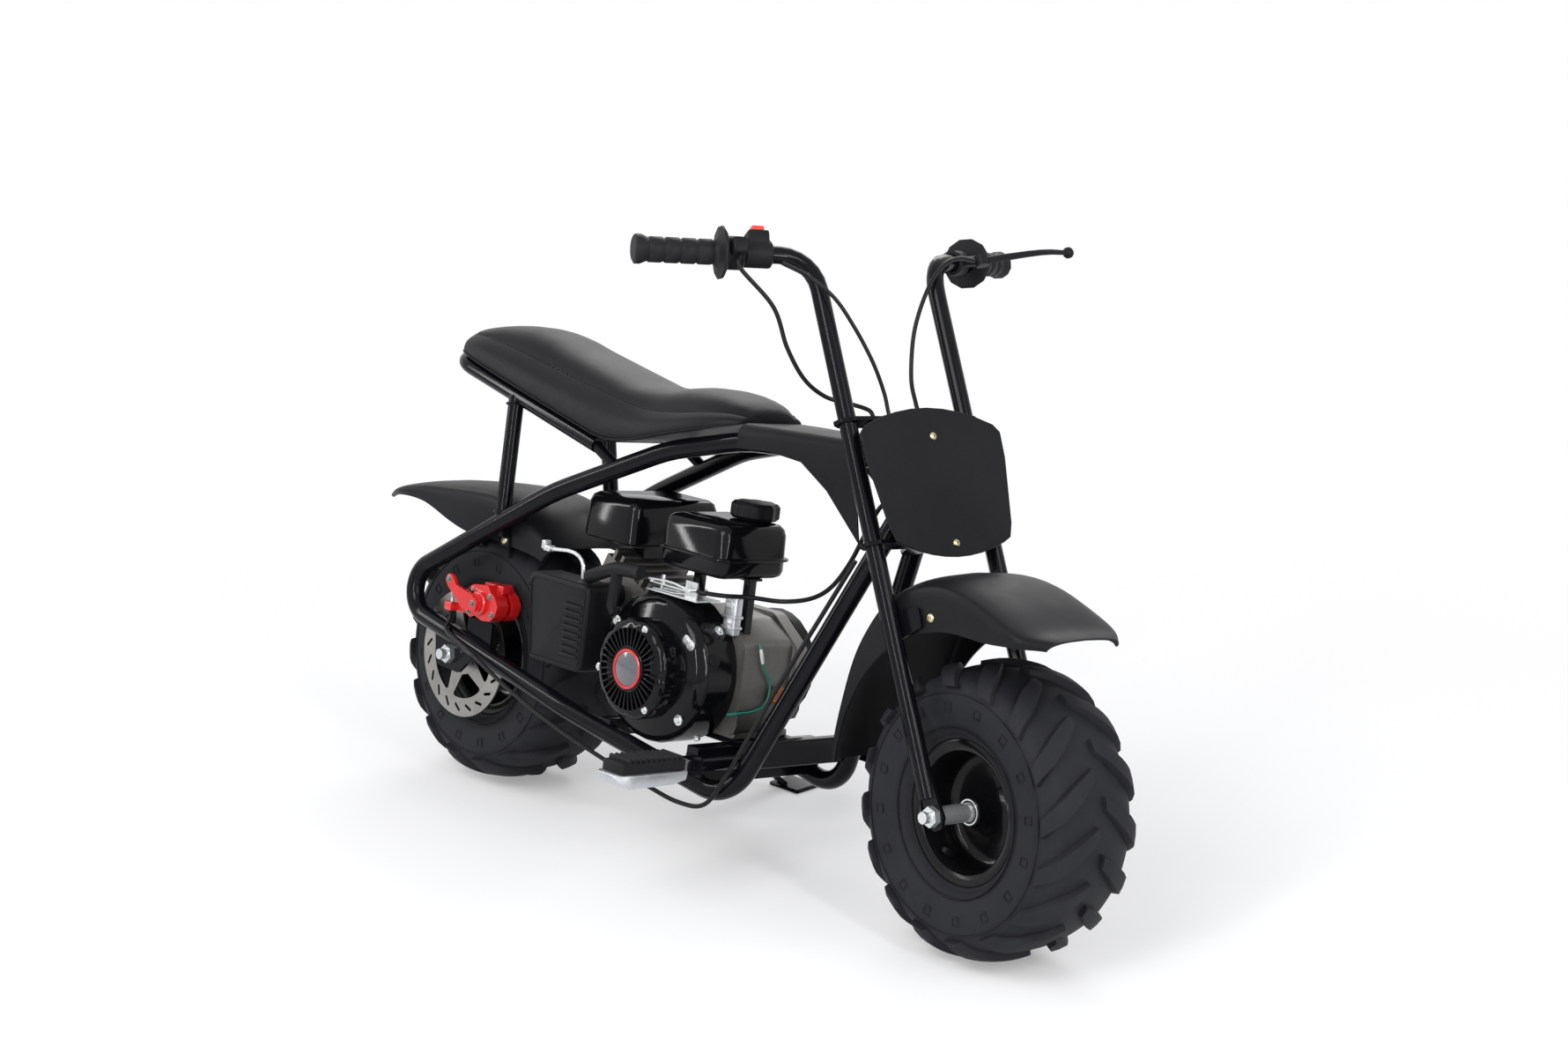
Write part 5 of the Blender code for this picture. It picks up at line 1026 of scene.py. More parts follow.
    def rim(self) -> bmesh.types.BMesh:
        """Return the rim: rolled lips, a barrel with its bead humps, a dished disc and its hub.

        Returns:
            The closed body, about the Y axis.
        """
        inside = self.barrel - self.sheet
        web = self.sheet / 2
        hub, hub_radius, edge, lip = self.hub_half, self.hub_radius, self.half_width, self.lip
        right = [
            (hub, self.bore), (hub, hub_radius - 0.002), (hub - 0.002, hub_radius),
            (web + 0.013, hub_radius + 0.001), (web + 0.006, hub_radius + 0.007),
            (web + 0.0015, hub_radius + 0.016), (web, hub_radius + 0.024), (web, inside - 0.016),
            (web + 0.0015, inside - 0.007), (web + 0.006, inside - 0.002), (web + 0.012, inside),
            (edge - 0.010, inside), (edge - 0.003, inside + 0.002), (edge - 0.0004, inside + 0.006),
            (edge, inside + 0.010), (edge, lip - 0.0015), (edge - 0.0008, lip), (edge - 0.0024, lip),
            (edge - self.sheet, lip - 0.0012), (edge - self.sheet, self.barrel),
        ]
        left = [(-axial, radius) for axial, radius in reversed(right)]
        return turned(right + left, 96)

    def valve(self) -> bmesh.types.BMesh:
        """Return the valve stem with its cap, inside the barrel."""
        root = Vector((0.0, 0.030, -(self.barrel - self.sheet)))
        tip = root + Vector((0.0, 0.020, 0.012))
        along = (tip - root).normalized()
        return gathered(sweep([root - along * 0.002, root + along * 0.012, tip - along * 0.004],
                              lambda t: 0.0048 - 0.0012 * t, 20),
                        rod(tip - along * 0.006, tip, 0.0031, 16))

    def build(self, shop: Workshop, place: Matrix) -> None:
        """Build and dress the wheel.

        Args:
            shop: The workshop that makes the pieces.
            place: The wheel's frame, +Y along its axle.
        """
        shop.piece(self.prefix + "_tyre_rubber", self.tyre(shop), "tyre_rubber", self.body, place,
                   [self.prefix + "_tyre"], 28.0)
        shop.piece(self.prefix + "_rim_pressing", self.rim(), "rim_paint", self.body, place,
                   [self.prefix + "_rim"], 40.0)
        flip = Matrix.Rotation(math.pi, 4, "Z") if self.body is Body.FRONT_WHEEL else Matrix.Identity(4)
        turn = Matrix.Rotation(self.valve_turn, 4, "Y")
        shop.piece(self.prefix + "_valve", self.valve(), "matte_plastic", self.body, place @ turn @ flip)
        seat, face, shield = self.hub_half - 0.004, self.hub_half + GAP, self.hub_half - 0.0005
        section = [(seat, 0.0088), (face, 0.0088), (face, 0.0115), (shield, 0.0119), (shield, 0.0139),
                   (face, 0.0142), (face, 0.0158), (seat, 0.0158)]
        rings = [turned([(side * axial, radius) for axial, radius in section], 48) for side in (1.0, -1.0)]
        shop.piece(self.prefix + "_bearings", gathered(*rings), "zinc_steel", self.body, place)


# Frame

@dataclass
class FrameTubes:
    """The painted side loops, and the seat's hoop with its struts, stays and weld beads."""

    tube: float = 0.0129
    strut: float = 0.011
    hoop_half: float = 0.080
    hoop_front: float = 0.215
    hoop_back: float = -0.118

    def loop(self) -> list[Vector]:
        """Return one side's centre line, from the head round the rear bend and back to the head."""
        return bent_path([
            (0.7205, 0.0250, 0.4917, 0.0), (0.5660, 0.1000, 0.1070, 0.060),
            (0.2520, 0.1200, 0.1590, 0.300), (-0.1700, 0.1200, 0.2400, 0.040),
            (0.1500, 0.0940, 0.4345, 0.500), (0.3450, 0.0670, 0.5235, 0.300),
            (0.4700, 0.0490, 0.5550, 0.300), (0.6830, 0.0260, 0.5660, 0.0)])

    def at(self, path: Sequence[Vector], x: float) -> Vector:
        """Return the upper rail's point at a distance along the bike."""
        upper = path[len(path) // 3:]
        for before, after in zip(upper, upper[1:]):
            if before.x <= x <= after.x:
                return before.lerp(after, (x - before.x) / (after.x - before.x))
        return path[-1]

    def weld(self, point: Point, direction: Point, radius: float) -> bmesh.types.BMesh:
        """Return a weld bead round a tube's end.

        Args:
            point: The middle of the bead's ring.
            direction: The tube's direction.
            radius: The tube's radius.

        Returns:
            The rippled ring.
        """
        rings = []
        turn = Vector(direction).to_track_quat("Z", "Y").to_matrix().to_4x4()
        sides, beads = 36, 6
        for k in range(sides):
            angle = 2 * math.pi * k / sides
            size = 0.0022 * (1.0 + 0.10 * math.cos(12 * angle))
            ring = []
            for j in range(beads):
                tilt = 2 * math.pi * j / beads
                reach = radius + 0.0012 + size * math.cos(tilt)
                ring.append((reach * math.cos(angle), reach * math.sin(angle), size * math.sin(tilt)))
            rings.append(ring)
        bm = bmesh.new()
        grid = [[bm.verts.new(p) for p in ring] for ring in rings]
        for k in range(sides):
            here, after = grid[k], grid[(k + 1) % sides]
            for j in range(beads):
                last = (j + 1) % beads
                bm.faces.new((here[j], here[last], after[last], after[j]))
        return moved(cleaned(bm), Matrix.Translation(point) @ turn)

    def hoop_z(self, x: float) -> float:
        """Return the height of the hoop's centre line under the seat."""
        drop = self.strut / math.cos(math.atan(SEAT_SLOPE))
        return SEAT_LINE - 0.0003 - SEAT_SHEET - 0.0003 - drop + SEAT_SLOPE * x

    def build(self, shop: Workshop) -> None:
        """Build and dress the frame.

        Args:
            shop: The workshop that makes the pieces.
        """
        path = self.loop()
        count = len(path)
        split = next(i for i in range(count // 4, count) if path[i].x < 0.0)
        for name, side in (("left", 1), ("right", -1)):
            lower = sweep(path[:split + 1], self.tube, 32)
            upper = sweep(path[split:], self.tube, 32)
            if side < 0:
                lower, upper = mirrored(lower), mirrored(upper)
            shop.piece("lower_tube_paint_" + name, lower, "frame_paint", Body.FRAME)
            shop.piece("upper_rail_paint_" + name, upper, "frame_paint", Body.FRAME)
        self.build_seat_frame(shop, path)

    def build_seat_frame(self, shop: Workshop, path: Sequence[Vector]) -> None:
        """Build the hoop, its struts and the weld beads.

        Args:
            shop: The workshop that makes the pieces.
            path: The loop's centre line, which the struts stand on.
        """
        corners = [(x, y, self.hoop_z(x), bend) for x, y, bend in (
            (self.hoop_front, self.hoop_half, 0.0), (self.hoop_back, self.hoop_half, 0.050),
            (self.hoop_back, -self.hoop_half, 0.050), (self.hoop_front, -self.hoop_half, 0.0))]
        parts = [sweep(bent_path(corners), self.strut, 28)]
        foot = self.at(path, 0.056)
        welds = []
        for side in (1, -1):
            low = Vector((0.056, side * (foot.y - 0.001), foot.z))
            high = Vector((0.036, side * 0.082, self.hoop_z(0.036)))
            parts.append(rod(low, high, self.strut, 28))
            stay_low = Vector((0.262, side * self.hoop_half, 0.484))
            stay_high = Vector((0.205, side * self.hoop_half, self.hoop_z(0.205)))
            parts.append(rod(stay_low, stay_high, self.strut * 0.7, 24))
            welds.append(self.weld(low.lerp(high, 0.075), high - low, self.strut))
            welds.append(self.weld(high.lerp(low, 0.07), high - low, self.strut))
        shop.piece("seat_frame_paint", gathered(*parts, *welds), "frame_paint", Body.FRAME, None,
                   ["seat_frame"])


# Seat and bodywork

@dataclass
class Saddle:
    """The padded seat with its crowned top, piping and sewn side seam."""

    rings: int = 62
    stitches: int = 86
    seam_point: int = 7
    welt_point: int = 2

    def stations(self) -> list[tuple[float, float, float, float, float, float]]:
        """Return the sections as (x, rise, bottom half, crease, crease half, crown)."""
        return [(-0.0995, 0.002, 0.072, 0.617, 0.056, 0.623), (-0.094, 0.001, 0.081, 0.621, 0.062, 0.630),
                (-0.085, 0.000, 0.087, 0.6245, 0.066, 0.6355), (-0.050, 0.000, 0.0945, 0.6248, 0.070, 0.6425),
                (0.003, 0.000, 0.0975, 0.618, 0.071, 0.6455), (0.045, 0.000, 0.0985, 0.6115, 0.071, 0.641),
                (0.080, 0.000, 0.0995, 0.605, 0.071, 0.6325), (0.142, 0.000, 0.0995, 0.595, 0.071, 0.6195),
                (0.200, 0.000, 0.0995, 0.586, 0.071, 0.6075), (0.240, 0.002, 0.0985, 0.580, 0.071, 0.5998),
                (0.294, 0.021, 0.0965, 0.573, 0.072, 0.6008), (0.345, 0.048, 0.0935, 0.576, 0.071, 0.6096),
                (0.400, 0.076, 0.0855, 0.584, 0.066, 0.6116), (0.435, 0.0945, 0.0735, 0.587, 0.057, 0.6050),
                (0.452, 0.103, 0.062, 0.586, 0.047, 0.597), (0.459, 0.1075, 0.055, 0.584, 0.041, 0.5905)]

    def ring(self, station: Sequence[float]) -> list[tuple[float, float, float]]:
        """Return one section's points, from one edge of the base over the top to the other.

        Args:
            station: The section's sizes, as stations gives them.

        Returns:
            The points, the same on both sides.
        """
        x, rise, bottom, crease, crease_half, crown = station
        low = SEAT_LINE + SEAT_SLOPE * x + rise
        depth = crease - low
        gap = bottom - crease_half
        half = [(bottom - 0.022, low), (bottom - 0.006, low), (bottom - 0.0005, low + 0.05 * depth),
                (bottom, low + 0.18 * depth), (bottom - 0.06 * gap, low + 0.40 * depth),
                (bottom - 0.20 * gap, low + 0.62 * depth),
                (crease_half + 0.36 * gap, crease - 0.16 * depth),
                (crease_half + 0.08 * gap, crease - 0.05 * depth), (crease_half - 0.0004, crease - 0.0022),
                (crease_half - 0.0016, crease + 0.0012),
                (crease_half - 0.006, crease + 0.26 * (crown - crease)),
                (crease_half * 0.78, crease + 0.58 * (crown - crease)),
                (crease_half * 0.48, crease + 0.86 * (crown - crease))]
        right = [(x, y, z) for y, z in half]
        left = [(x, -y, z) for y, z in reversed(half)]
        return right + [(x, 0.0, crown)] + left

    def along(self, share: float, place: int) -> Vector:
        """Return a smooth point along the seat on one line of its sections.

        Args:
            share: 0 at the tail, 1 at the nose.
            place: The section's point.

        Returns:
            The point.
        """
        rings = [self.ring(station) for station in self.stations()]
        line = smooth_path([ring[place] for ring in rings], 60)
        where = share * (len(line) - 1)
        k = min(int(where), len(line) - 2)
        return line[k].lerp(line[k + 1], where - k)

    def build(self, shop: Workshop) -> None:
        """Build the cushion, its seam's stitches and the edge trim.

        Args:
            shop: The workshop that makes the pieces.
        """
        columns = len(self.ring(self.stations()[0]))
        lines = [smooth_path([self.ring(s)[k] for s in self.stations()], self.rings) for k in range(columns)]
        rings = [[line[i] for line in lines] for i in range(self.rings)]
        cushion = shop.piece("seat_cushion", loft(rings), "seat_vinyl", Body.FRAME, None, ["seat"], 60.0,
                             levels=1)
        stitches = []
        for side, place in ((1, self.seam_point), (-1, columns - 1 - self.seam_point)):
            out = Vector((0, side * 0.6, 0.5)).normalized() * 0.0003
            for k in range(self.stitches):
                here = self.along(0.05 + 0.90 * k / self.stitches, place)
                after = self.along(0.05 + 0.90 * (k + 0.55) / self.stitches, place)
                stitches.append(sweep([here, (here + after) / 2 + out, after], 0.00042, 6))
        shop.piece("seat_stitches", gathered(*stitches), "grip_rubber", Body.FRAME)
        for side, place in (("right", self.welt_point), ("left", columns - 1 - self.welt_point)):
            line = [self.along(0.02 + 0.96 * k / 60, place) for k in range(61)]
            shop.piece("seat_welt_" + side, sweep(line, 0.0013, 10), "seat_vinyl", Body.FRAME)


# Cables

@dataclass(frozen=True)
class Route:
    """One cable: its points, its thickness, its body and how stiff it is."""

    name: str
    points: tuple[Point, ...]
    diameter: float
    body: Body
    stiffness: str = "stiff"


@dataclass
class Cables:
    """The cables and the hose, each on the route that its solid has."""

    right: Vector = field(default_factory=lambda: Vector((0.030, -0.098, 0.702)))
    left: Vector = field(default_factory=lambda: Vector((0.030, 0.098, 0.702)))
    clamp_top: float = 0.4918
    grip_length: float = 0.113

    def bar_point(self, x: float, y: float, z: float) -> Vector:
        """Return the fork frame's point for a place given along the right bar."""
        reach = Vector((-0.0815, 0.2089, 0.0334))
        turn = reach.to_track_quat("X", "Z").to_matrix()
        start = self.left + reach - reach.normalized() * self.grip_length
        point = start + turn @ Vector((x, y, z))
        return Vector((point.x, -point.y, point.z))

    def routes(self) -> list[Route]:
        """Return every cable's route.

        Returns:
            The routes of the fork's cables in the fork's frame, and of the others in the bike's.
        """
        right, left = self.right, self.left
        return [
            Route("throttle_cable", (
                self.bar_point(-0.0135, -0.024, -0.0118), self.bar_point(-0.0135, -0.024, -0.028),
                right + Vector((-0.014, -0.067, -0.062)), right + Vector((-0.033, -0.042, -0.107)),
                (-0.018, -0.110, 0.560), (-0.020, -0.080, 0.538), (-0.008, -0.054, 0.525),
                (0.010, -0.042, 0.511), (0.014, -0.040, 0.501), (0.014, -0.040, self.clamp_top)),
                0.0055, Body.FORK),
            Route("switch_lead", (
                right + Vector((0.004, -0.054, -0.012)), right + Vector((0.020, -0.032, -0.034)),
                right + Vector((0.025, -0.002, -0.062)), right + Vector((0.023, 0.023, -0.100)),
                (0.047, -0.052, 0.560), (0.038, -0.036, 0.525), (0.034, -0.032, 0.503),
                (0.034, -0.032, self.clamp_top)), 0.0050, Body.FORK, "medium"),
            Route("brake_cable_bar", (
                left + Vector((0.017, 0.062, -0.002)), left + Vector((0.019, 0.032, -0.001)),
                left + Vector((0.017, 0.004, -0.012)), left + Vector((0.006, -0.021, -0.041)),
                (0.020, 0.055, 0.612), (0.009, 0.043, 0.555), (0.012, 0.038, 0.520),
                (0.014, 0.038, 0.501), (0.014, 0.038, self.clamp_top)), 0.0055, Body.FORK),
            Route("throttle_hose", (
                (0.4628, -0.0990, 0.358), (0.474, -0.0990, 0.358), (0.491, -0.078, 0.357),
                (0.505, -0.045, 0.357), (0.535, -0.016, 0.357), (0.572, -0.002, 0.368),
                (0.604, 0.0, 0.390), (0.634, -0.003, 0.428), (0.656, -0.004, 0.472),
                (0.674, -0.004, 0.504), (0.693, -0.004, 0.512)), 0.006, Body.FRAME),
            Route("brake_cable", (
                (0.692, -0.056, 0.440), (0.660, -0.074, 0.360), (0.628, -0.092, 0.280),
                (0.600, -0.108, 0.205), (0.578, -0.118, 0.150), (0.545, -0.120, 0.100),
                (0.500, -0.124, 0.091), (0.440, -0.130, 0.100), (0.350, -0.134, 0.116),
                (0.250, -0.142, 0.140), (0.150, -0.145, 0.170), (0.070, -0.144, 0.198),
                (0.010, -0.139, 0.214), (-0.003, -0.128, 0.227), (-0.003, -0.126, 0.2414)),
                0.006, Body.FRAME),
        ]

    def build(self, shop: Workshop) -> None:
        """Args:
            shop: The workshop that makes the pieces.
        """
        for route in self.routes():
            place = shop.fork if route.body is Body.FORK else shop.bike
            line = smooth_path(route.points, 90)
            path = [place @ point for point in line]
            length = sum((b - a).length for a, b in zip(path, path[1:]))
            tube = shop.piece(route.name + "_sheath", sweep(line, route.diameter / 2, 14), "cable_sheath",
                              route.body, place, [route.name])


# Hardware

@dataclass(frozen=True)
class Screws:
    """One set of equal screws: their shape, finish, places, body and the frame they are given in."""

    name: str
    head: Callable[[], bmesh.types.BMesh]
    finish: str
    places: Sequence[tuple[Point, Point]]
    body: Body = Body.FRAME
    frame_name: str = "bike"


@dataclass
class Hardware:
    """The screws that hold the cowl, the recoil cover, the number plate and the fenders."""

    @staticmethod
    def round_crank(radius: float, face: float, angles: Sequence[float]) -> list[tuple[Point, Point]]:
        """Return places round the crankshaft, facing the bike's right.

        Args:
            radius: The distance from the crankshaft.
            face: The height of the face across the bike.
            angles: The screws' angles.

        Returns:
            A point and a direction for each angle.
        """
        return [((CRANK_X + radius * math.cos(a), face, CRANK_Z + radius * math.sin(a)), (0, -1, 0))
                for a in angles]

    def build(self, shop: Workshop) -> None:
        """Set every screw.

        Args:
            shop: The workshop that makes the pieces.
        """
        rear = [((0.051, side * 0.0884, 0.3504), (0, side, 0)) for side in (1, -1)]
        front = [((-0.056, side * 0.0851, 0.226), (0, side, 0)) for side in (1, -1)]
        for screws in (
                Screws("shroud_bolts", lambda: hex_screw(0.0048, 0.0042, 0.0072), "zinc_steel",
                       self.round_crank(0.086, COWL_FACE, (0.55, 2.55, 3.75, 5.6))),
                Screws("recoil_bolts", lambda: hex_screw(0.0034, 0.0030, 0.0051), "zinc_steel",
                       self.round_crank(0.0595, -0.1494, (1.2, 3.3, 5.4))),
                Screws("plate_screws", lambda: dome_screw(0.0052, 0.0030), "yellow_zinc",
                       [((0.0685, 0.0, z), (1, 0, 0)) for z in (0.458, 0.322)], Body.FORK, "fork"),
                Screws("rear_fender_screws", lambda: dome_screw(0.0060, 0.0032), "yellow_zinc", rear),
                Screws("front_fender_screws", lambda: dome_screw(0.0060, 0.0032), "yellow_zinc", front,
                       Body.FORK, "front_hub")):
            shop.piece(screws.name, shop.repeats.spots(screws.head(), screws.places), screws.finish,
                       screws.body, getattr(shop, screws.frame_name))


@dataclass
class EngineDetail:
    """The small fittings on the engine: its lead, oil plug, cowl plug, intake block, bolts and springs."""

    wall: float = 0.512

    def lead(self, shop: Workshop) -> None:
        """Add the thin green lead with its clear sleeve, on the crankcase's front.

        Args:
            shop: The workshop that makes the pieces.
        """
        out = self.wall + 0.0035
        line = smooth_path([
            (self.wall + 0.0005, -0.0262, 0.2975), (out, -0.0250, 0.2900), (out, -0.0217, 0.2800),
            (out, -0.0161, 0.2660), (out, -0.0012, 0.2432), (out, -0.0049, 0.2176),
            (out, -0.0257, 0.2085), (out - 0.002, -0.0480, 0.2065), (0.5050, -0.0620, 0.2035)], 70)
        path = [shop.bike @ point for point in line]
        length = sum((b - a).length for a, b in zip(path, path[1:]))
        wire = shop.piece("earth_lead", sweep(line, 0.0015, 12), "teal_wire", Body.FRAME)
        sleeve = shop.piece("lead_sleeve", sweep(line[8:24], lambda t: 0.0026 - 0.0006 * abs(2 * t - 1), 16),
                            "clear_sleeve", Body.FRAME)

    def spring(self, start: Point, end: Point, radius: float, turns: int) -> bmesh.types.BMesh:
        """Return a coil spring between two points, with straight ends.

        Args:
            start: One end.
            end: The other end.
            radius: The coil's radius.
            turns: How many turns it has.

        Returns:
            The wire's closed body.
        """
        start, end = Vector(start), Vector(end)
        turn = (end - start).to_track_quat("Z", "Y").to_matrix()
        count = turns * 12
        coil = [start]
        for k in range(count + 1):
            angle = 2 * math.pi * turns * k / count
            along = start.lerp(end, 0.12 + 0.76 * k / count)
            coil.append(along + turn @ Vector((radius * math.cos(angle), radius * math.sin(angle), 0.0)))
        coil.append(end)
        return sweep(coil, 0.00055, 6)

    def build(self, shop: Workshop) -> None:
        """Add every fitting.

        Args:
            shop: The workshop that makes the pieces.
        """
        self.lead(shop)
        knob = turned([(0.0, 0.0), (0.0, 0.0075), (0.004, 0.0078), (0.0045, 0.0112), (0.0060, 0.0120),
                       (0.0125, 0.0120), (0.0140, 0.0108), (0.0144, 0.0)], 72, "X",
                      lambda angle, radius: 1.0 + (0.05 * math.cos(12 * angle) if radius > 0.0100 else 0.0))
        shop.piece("oil_plug_knob", shifted(knob, (self.wall + 0.0002, 0.012, 0.228)), "oil_plug", Body.FRAME)
        plug = turned([(0.0, 0.0), (0.0, 0.0090), (0.0014, 0.0088), (0.0022, 0.0070), (0.0024, 0.0)], 40, "Z")
        shop.piece("cowl_plug", shop.repeats.spots(plug, [((0.4984, -0.0892, 0.274), (0.94, 0.0, 0.33))]),
                   "matte_plastic", Body.FRAME)
        bands = [block((0.4725, -0.0615, low), (0.4975, -0.0455, low + 0.0045), 0.0012)
                 for low in (0.3120, 0.3260)]
        stem = block((0.4740, -0.0600, 0.3040), (0.4960, -0.0470, 0.3560), 0.0022)
        shop.piece("intake_block", gathered(stem, *bands), "peg_aluminium", Body.FRAME)
        bolts = [((0.4850, -0.0607, 0.3210), (0, -1, 0)), ((0.4850, -0.0607, 0.3450), (0, -1, 0)),
                 ((0.4799, -0.0700, 0.3088), (0.71, 0.0, 0.71)),
                 ((0.4523, -0.0600, 0.1607), (0.53, 0.0, -0.85)), ((0.4700, COWL_FACE, 0.2960), (0, -1, 0))]
        shop.piece("case_bolts", shop.repeats.spots(hex_screw(0.0044, 0.0040, 0.0066), bolts),
                   "zinc_steel", Body.FRAME)
        springs = gathered(self.spring((0.392, -0.098, 0.350), (0.440, -0.099, 0.352), 0.0026, 13),
                           self.spring((0.398, -0.086, 0.353), (0.436, -0.090, 0.356), 0.0022, 11),
                           sweep([(0.380, -0.101, 0.347), (0.420, -0.1015, 0.3475), (0.455, -0.100, 0.352)],
                                 0.0011, 10))
        shop.piece("governor_springs", springs, "zinc_steel", Body.FRAME)


# Brake

@dataclass
class Brake:
    """The slotted rear disc."""

    radius: float = 0.090
    thickness: float = 0.003
    offset: float = 0.098
    bore: float = 0.0172
    windows: int = 5
    slots: int = 20
    slot_circle: float = 0.0775
    slot_slant: float = 0.9
    slot_half: float = 0.0056
    slot_radius: float = 0.0021

    def window(self, turn: float) -> list[tuple[float, float]]:
        """Return one opening between two spokes, its corners rounded."""
        half = math.pi / self.windows
        points = []
        for radius, first, last in ((0.0640, -half + 0.10, half - 0.10), (0.0300, half - 0.42, -half + 0.42)):
            for k in range(9):
                angle = turn + first + (last - first) * k / 8
                points.append((radius * math.cos(angle), radius * math.sin(angle)))
        return rounded(points, 0.0035, 4)

    def slot(self, turn: float) -> list[tuple[float, float]]:
        """Return one slanted oblong slot of the outer ring.

        Args:
            turn: The slot's angle round the disc.

        Returns:
            The slot's outline.
        """
        slant = turn + self.slot_slant
        middle = Vector((self.slot_circle * math.cos(turn), self.slot_circle * math.sin(turn)))
        along = Vector((math.cos(slant), math.sin(slant))) * self.slot_half
        across = Vector((-along.y, along.x)).normalized() * self.slot_radius
        outward = along.normalized() * self.slot_radius
        points = []
        for side in (1, -1):
            for k in range(7):
                angle = math.pi * k / 6
                points.append(tuple(middle + side * along + side * outward * math.sin(angle)
                                    - side * across * math.cos(angle)))
        return points

    def build(self, shop: Workshop) -> None:
        """Build the disc with its windows and slots.

        Args:
            shop: The workshop that makes the pieces.
        """
        holes = [circle(self.bore, 40)]
        holes += [self.window(2 * math.pi * k / self.windows) for k in range(self.windows)]
        holes += [self.slot(2 * math.pi * k / self.slots) for k in range(self.slots)]
        disc = prism(circle(self.radius, 120), -self.offset - self.thickness / 2,
                     -self.offset + self.thickness / 2, "xz", holes)
        shop.piece("brake_disc_plate", disc, "brushed_steel", Body.REAR_WHEEL, shop.rear_hub,
                   ["brake_disc"], 30.0, 0.0003)


# Engine cover

@dataclass
class Recoil:
    """The recoil starter's cover: a scalloped rim, thin radial slots and a plain round badge."""

    radius: float = 0.066
    face: float = 0.150
    back: float = 0.1153
    fins: int = 36

    def build(self, shop: Workshop) -> None:
        """Build the cover's shell, its fins and its badge.

        Args:
            shop: The workshop that makes the pieces.
        """
        y = -self.face
        profile = [(-self.back, 0.0), (-self.back, self.radius), (y + 0.010, self.radius),
                   (y + 0.005, self.radius - 0.0012), (y + 0.0016, self.radius - 0.004),
                   (y, self.radius - 0.0075), (y - 0.0010, 0.0545), (y - 0.0012, 0.0535),
                   (y + 0.0040, 0.0530), (y + 0.0040, 0.0305), (y - 0.0024, 0.0300), (y - 0.0034, 0.0290),
                   (y - 0.0036, 0.0265), (y - 0.0030, 0.0260), (y - 0.0030, 0.0)]

        def scallop(angle: float, radius: float) -> float:
            """Return the rim's share of radius at an angle."""
            if radius < 0.056:
                return 1.0
            return 1.0 - 0.030 * (0.5 + 0.5 * math.cos(8 * angle)) ** 6

        place = shop.bike @ Matrix.Translation((CRANK_X, 0, CRANK_Z))
        shop.piece("recoil_shell", turned(profile, 144, "Y", scallop), "engine_paint", Body.FRAME, place,
                   ["recoil_cover"], 32.0)
        fin = block((0.0296, y - 0.0020, -0.0011), (0.0540, y + 0.0046, 0.0011), 0.0005, 2)
        shop.piece("recoil_fins", shop.repeats.ring(fin, self.fins), "engine_paint", Body.FRAME, place)
        ring = [(y - 0.0032, 0.0222), (y - 0.0046, 0.0226), (y - 0.0048, 0.0236), (y - 0.0048, 0.0252),
                (y - 0.0042, 0.0260), (y - 0.0026, 0.0260), (y - 0.0026, 0.0222)]
        shop.piece("badge_ring", turned(ring, 72), "caliper_red", Body.FRAME, place)
        disc = [(y - 0.0026, 0.0), (y - 0.0026, 0.0221), (y - 0.0037, 0.0221), (y - 0.0042, 0.0212),
                (y - 0.0044, 0.0)]
        shop.piece("badge_face", turned(disc[::-1], 72), "badge_grey", Body.FRAME, place)


# Shapes taken over

@dataclass
class Adopted:
    """The CAD shapes that need only finer edges: each is copied, merged, bevelled and smoothed."""

    widths: dict[float, tuple[str, ...]] = field(default_factory=lambda: {
        0.0002: ("rear_sprocket", "drive_chain"),
        0.0003: ("governor_linkage",),
        0.0004: ("fork_leg_left", "fork_leg_right", "choke_lever", "rear_axle", "front_axle", "clutch"),
        0.0005: ("grip_left", "grip_right"),
        0.0006: ("head_tube", "engine_mount", "footpeg_bar", "side_stand", "tank_bracket", "seat_pan",
                 "brake_lever", "cylinder", "footpeg_left", "footpeg_right", "kill_button"),
        0.0007: ("lower_clamp", "upper_clamp"),
        0.0008: ("air_cleaner", "throttle_housing", "switch_pod", "brake_perch", "head_cover",
                 "number_plate"),
        0.0010: ("fuel_cap", "clutch_guard"),
        0.0012: ("blower_housing", "fuel_tank", "pull_handle", "crankcase"),
        0.0016: ("muffler_guard",),
    })

    def build(self, shop: Workshop) -> None:
        """Copy, merge and dress each of the shapes.

        Args:
            shop: The workshop that makes the pieces.
        """
        edges = {name: width for width, names in self.widths.items() for name in names}
        for part in frame["record"]["subparts"]:
            name = part["node"]
            if name not in edges:
                continue
            node = frame["nodes"][name]
            bm = bmesh.new()
            bm.from_mesh(node.data)
            bmesh.ops.remove_doubles(bm, verts=bm.verts, dist=1e-5)
            bmesh.ops.dissolve_limit(bm, angle_limit=math.radians(1.0), verts=bm.verts, edges=bm.edges)
            shop.piece(name + "_finished", bm, part["material_slot"], Body(node["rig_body"]),
                       Matrix.Identity(4), [name], 38.0, edges[name])


# Footpegs

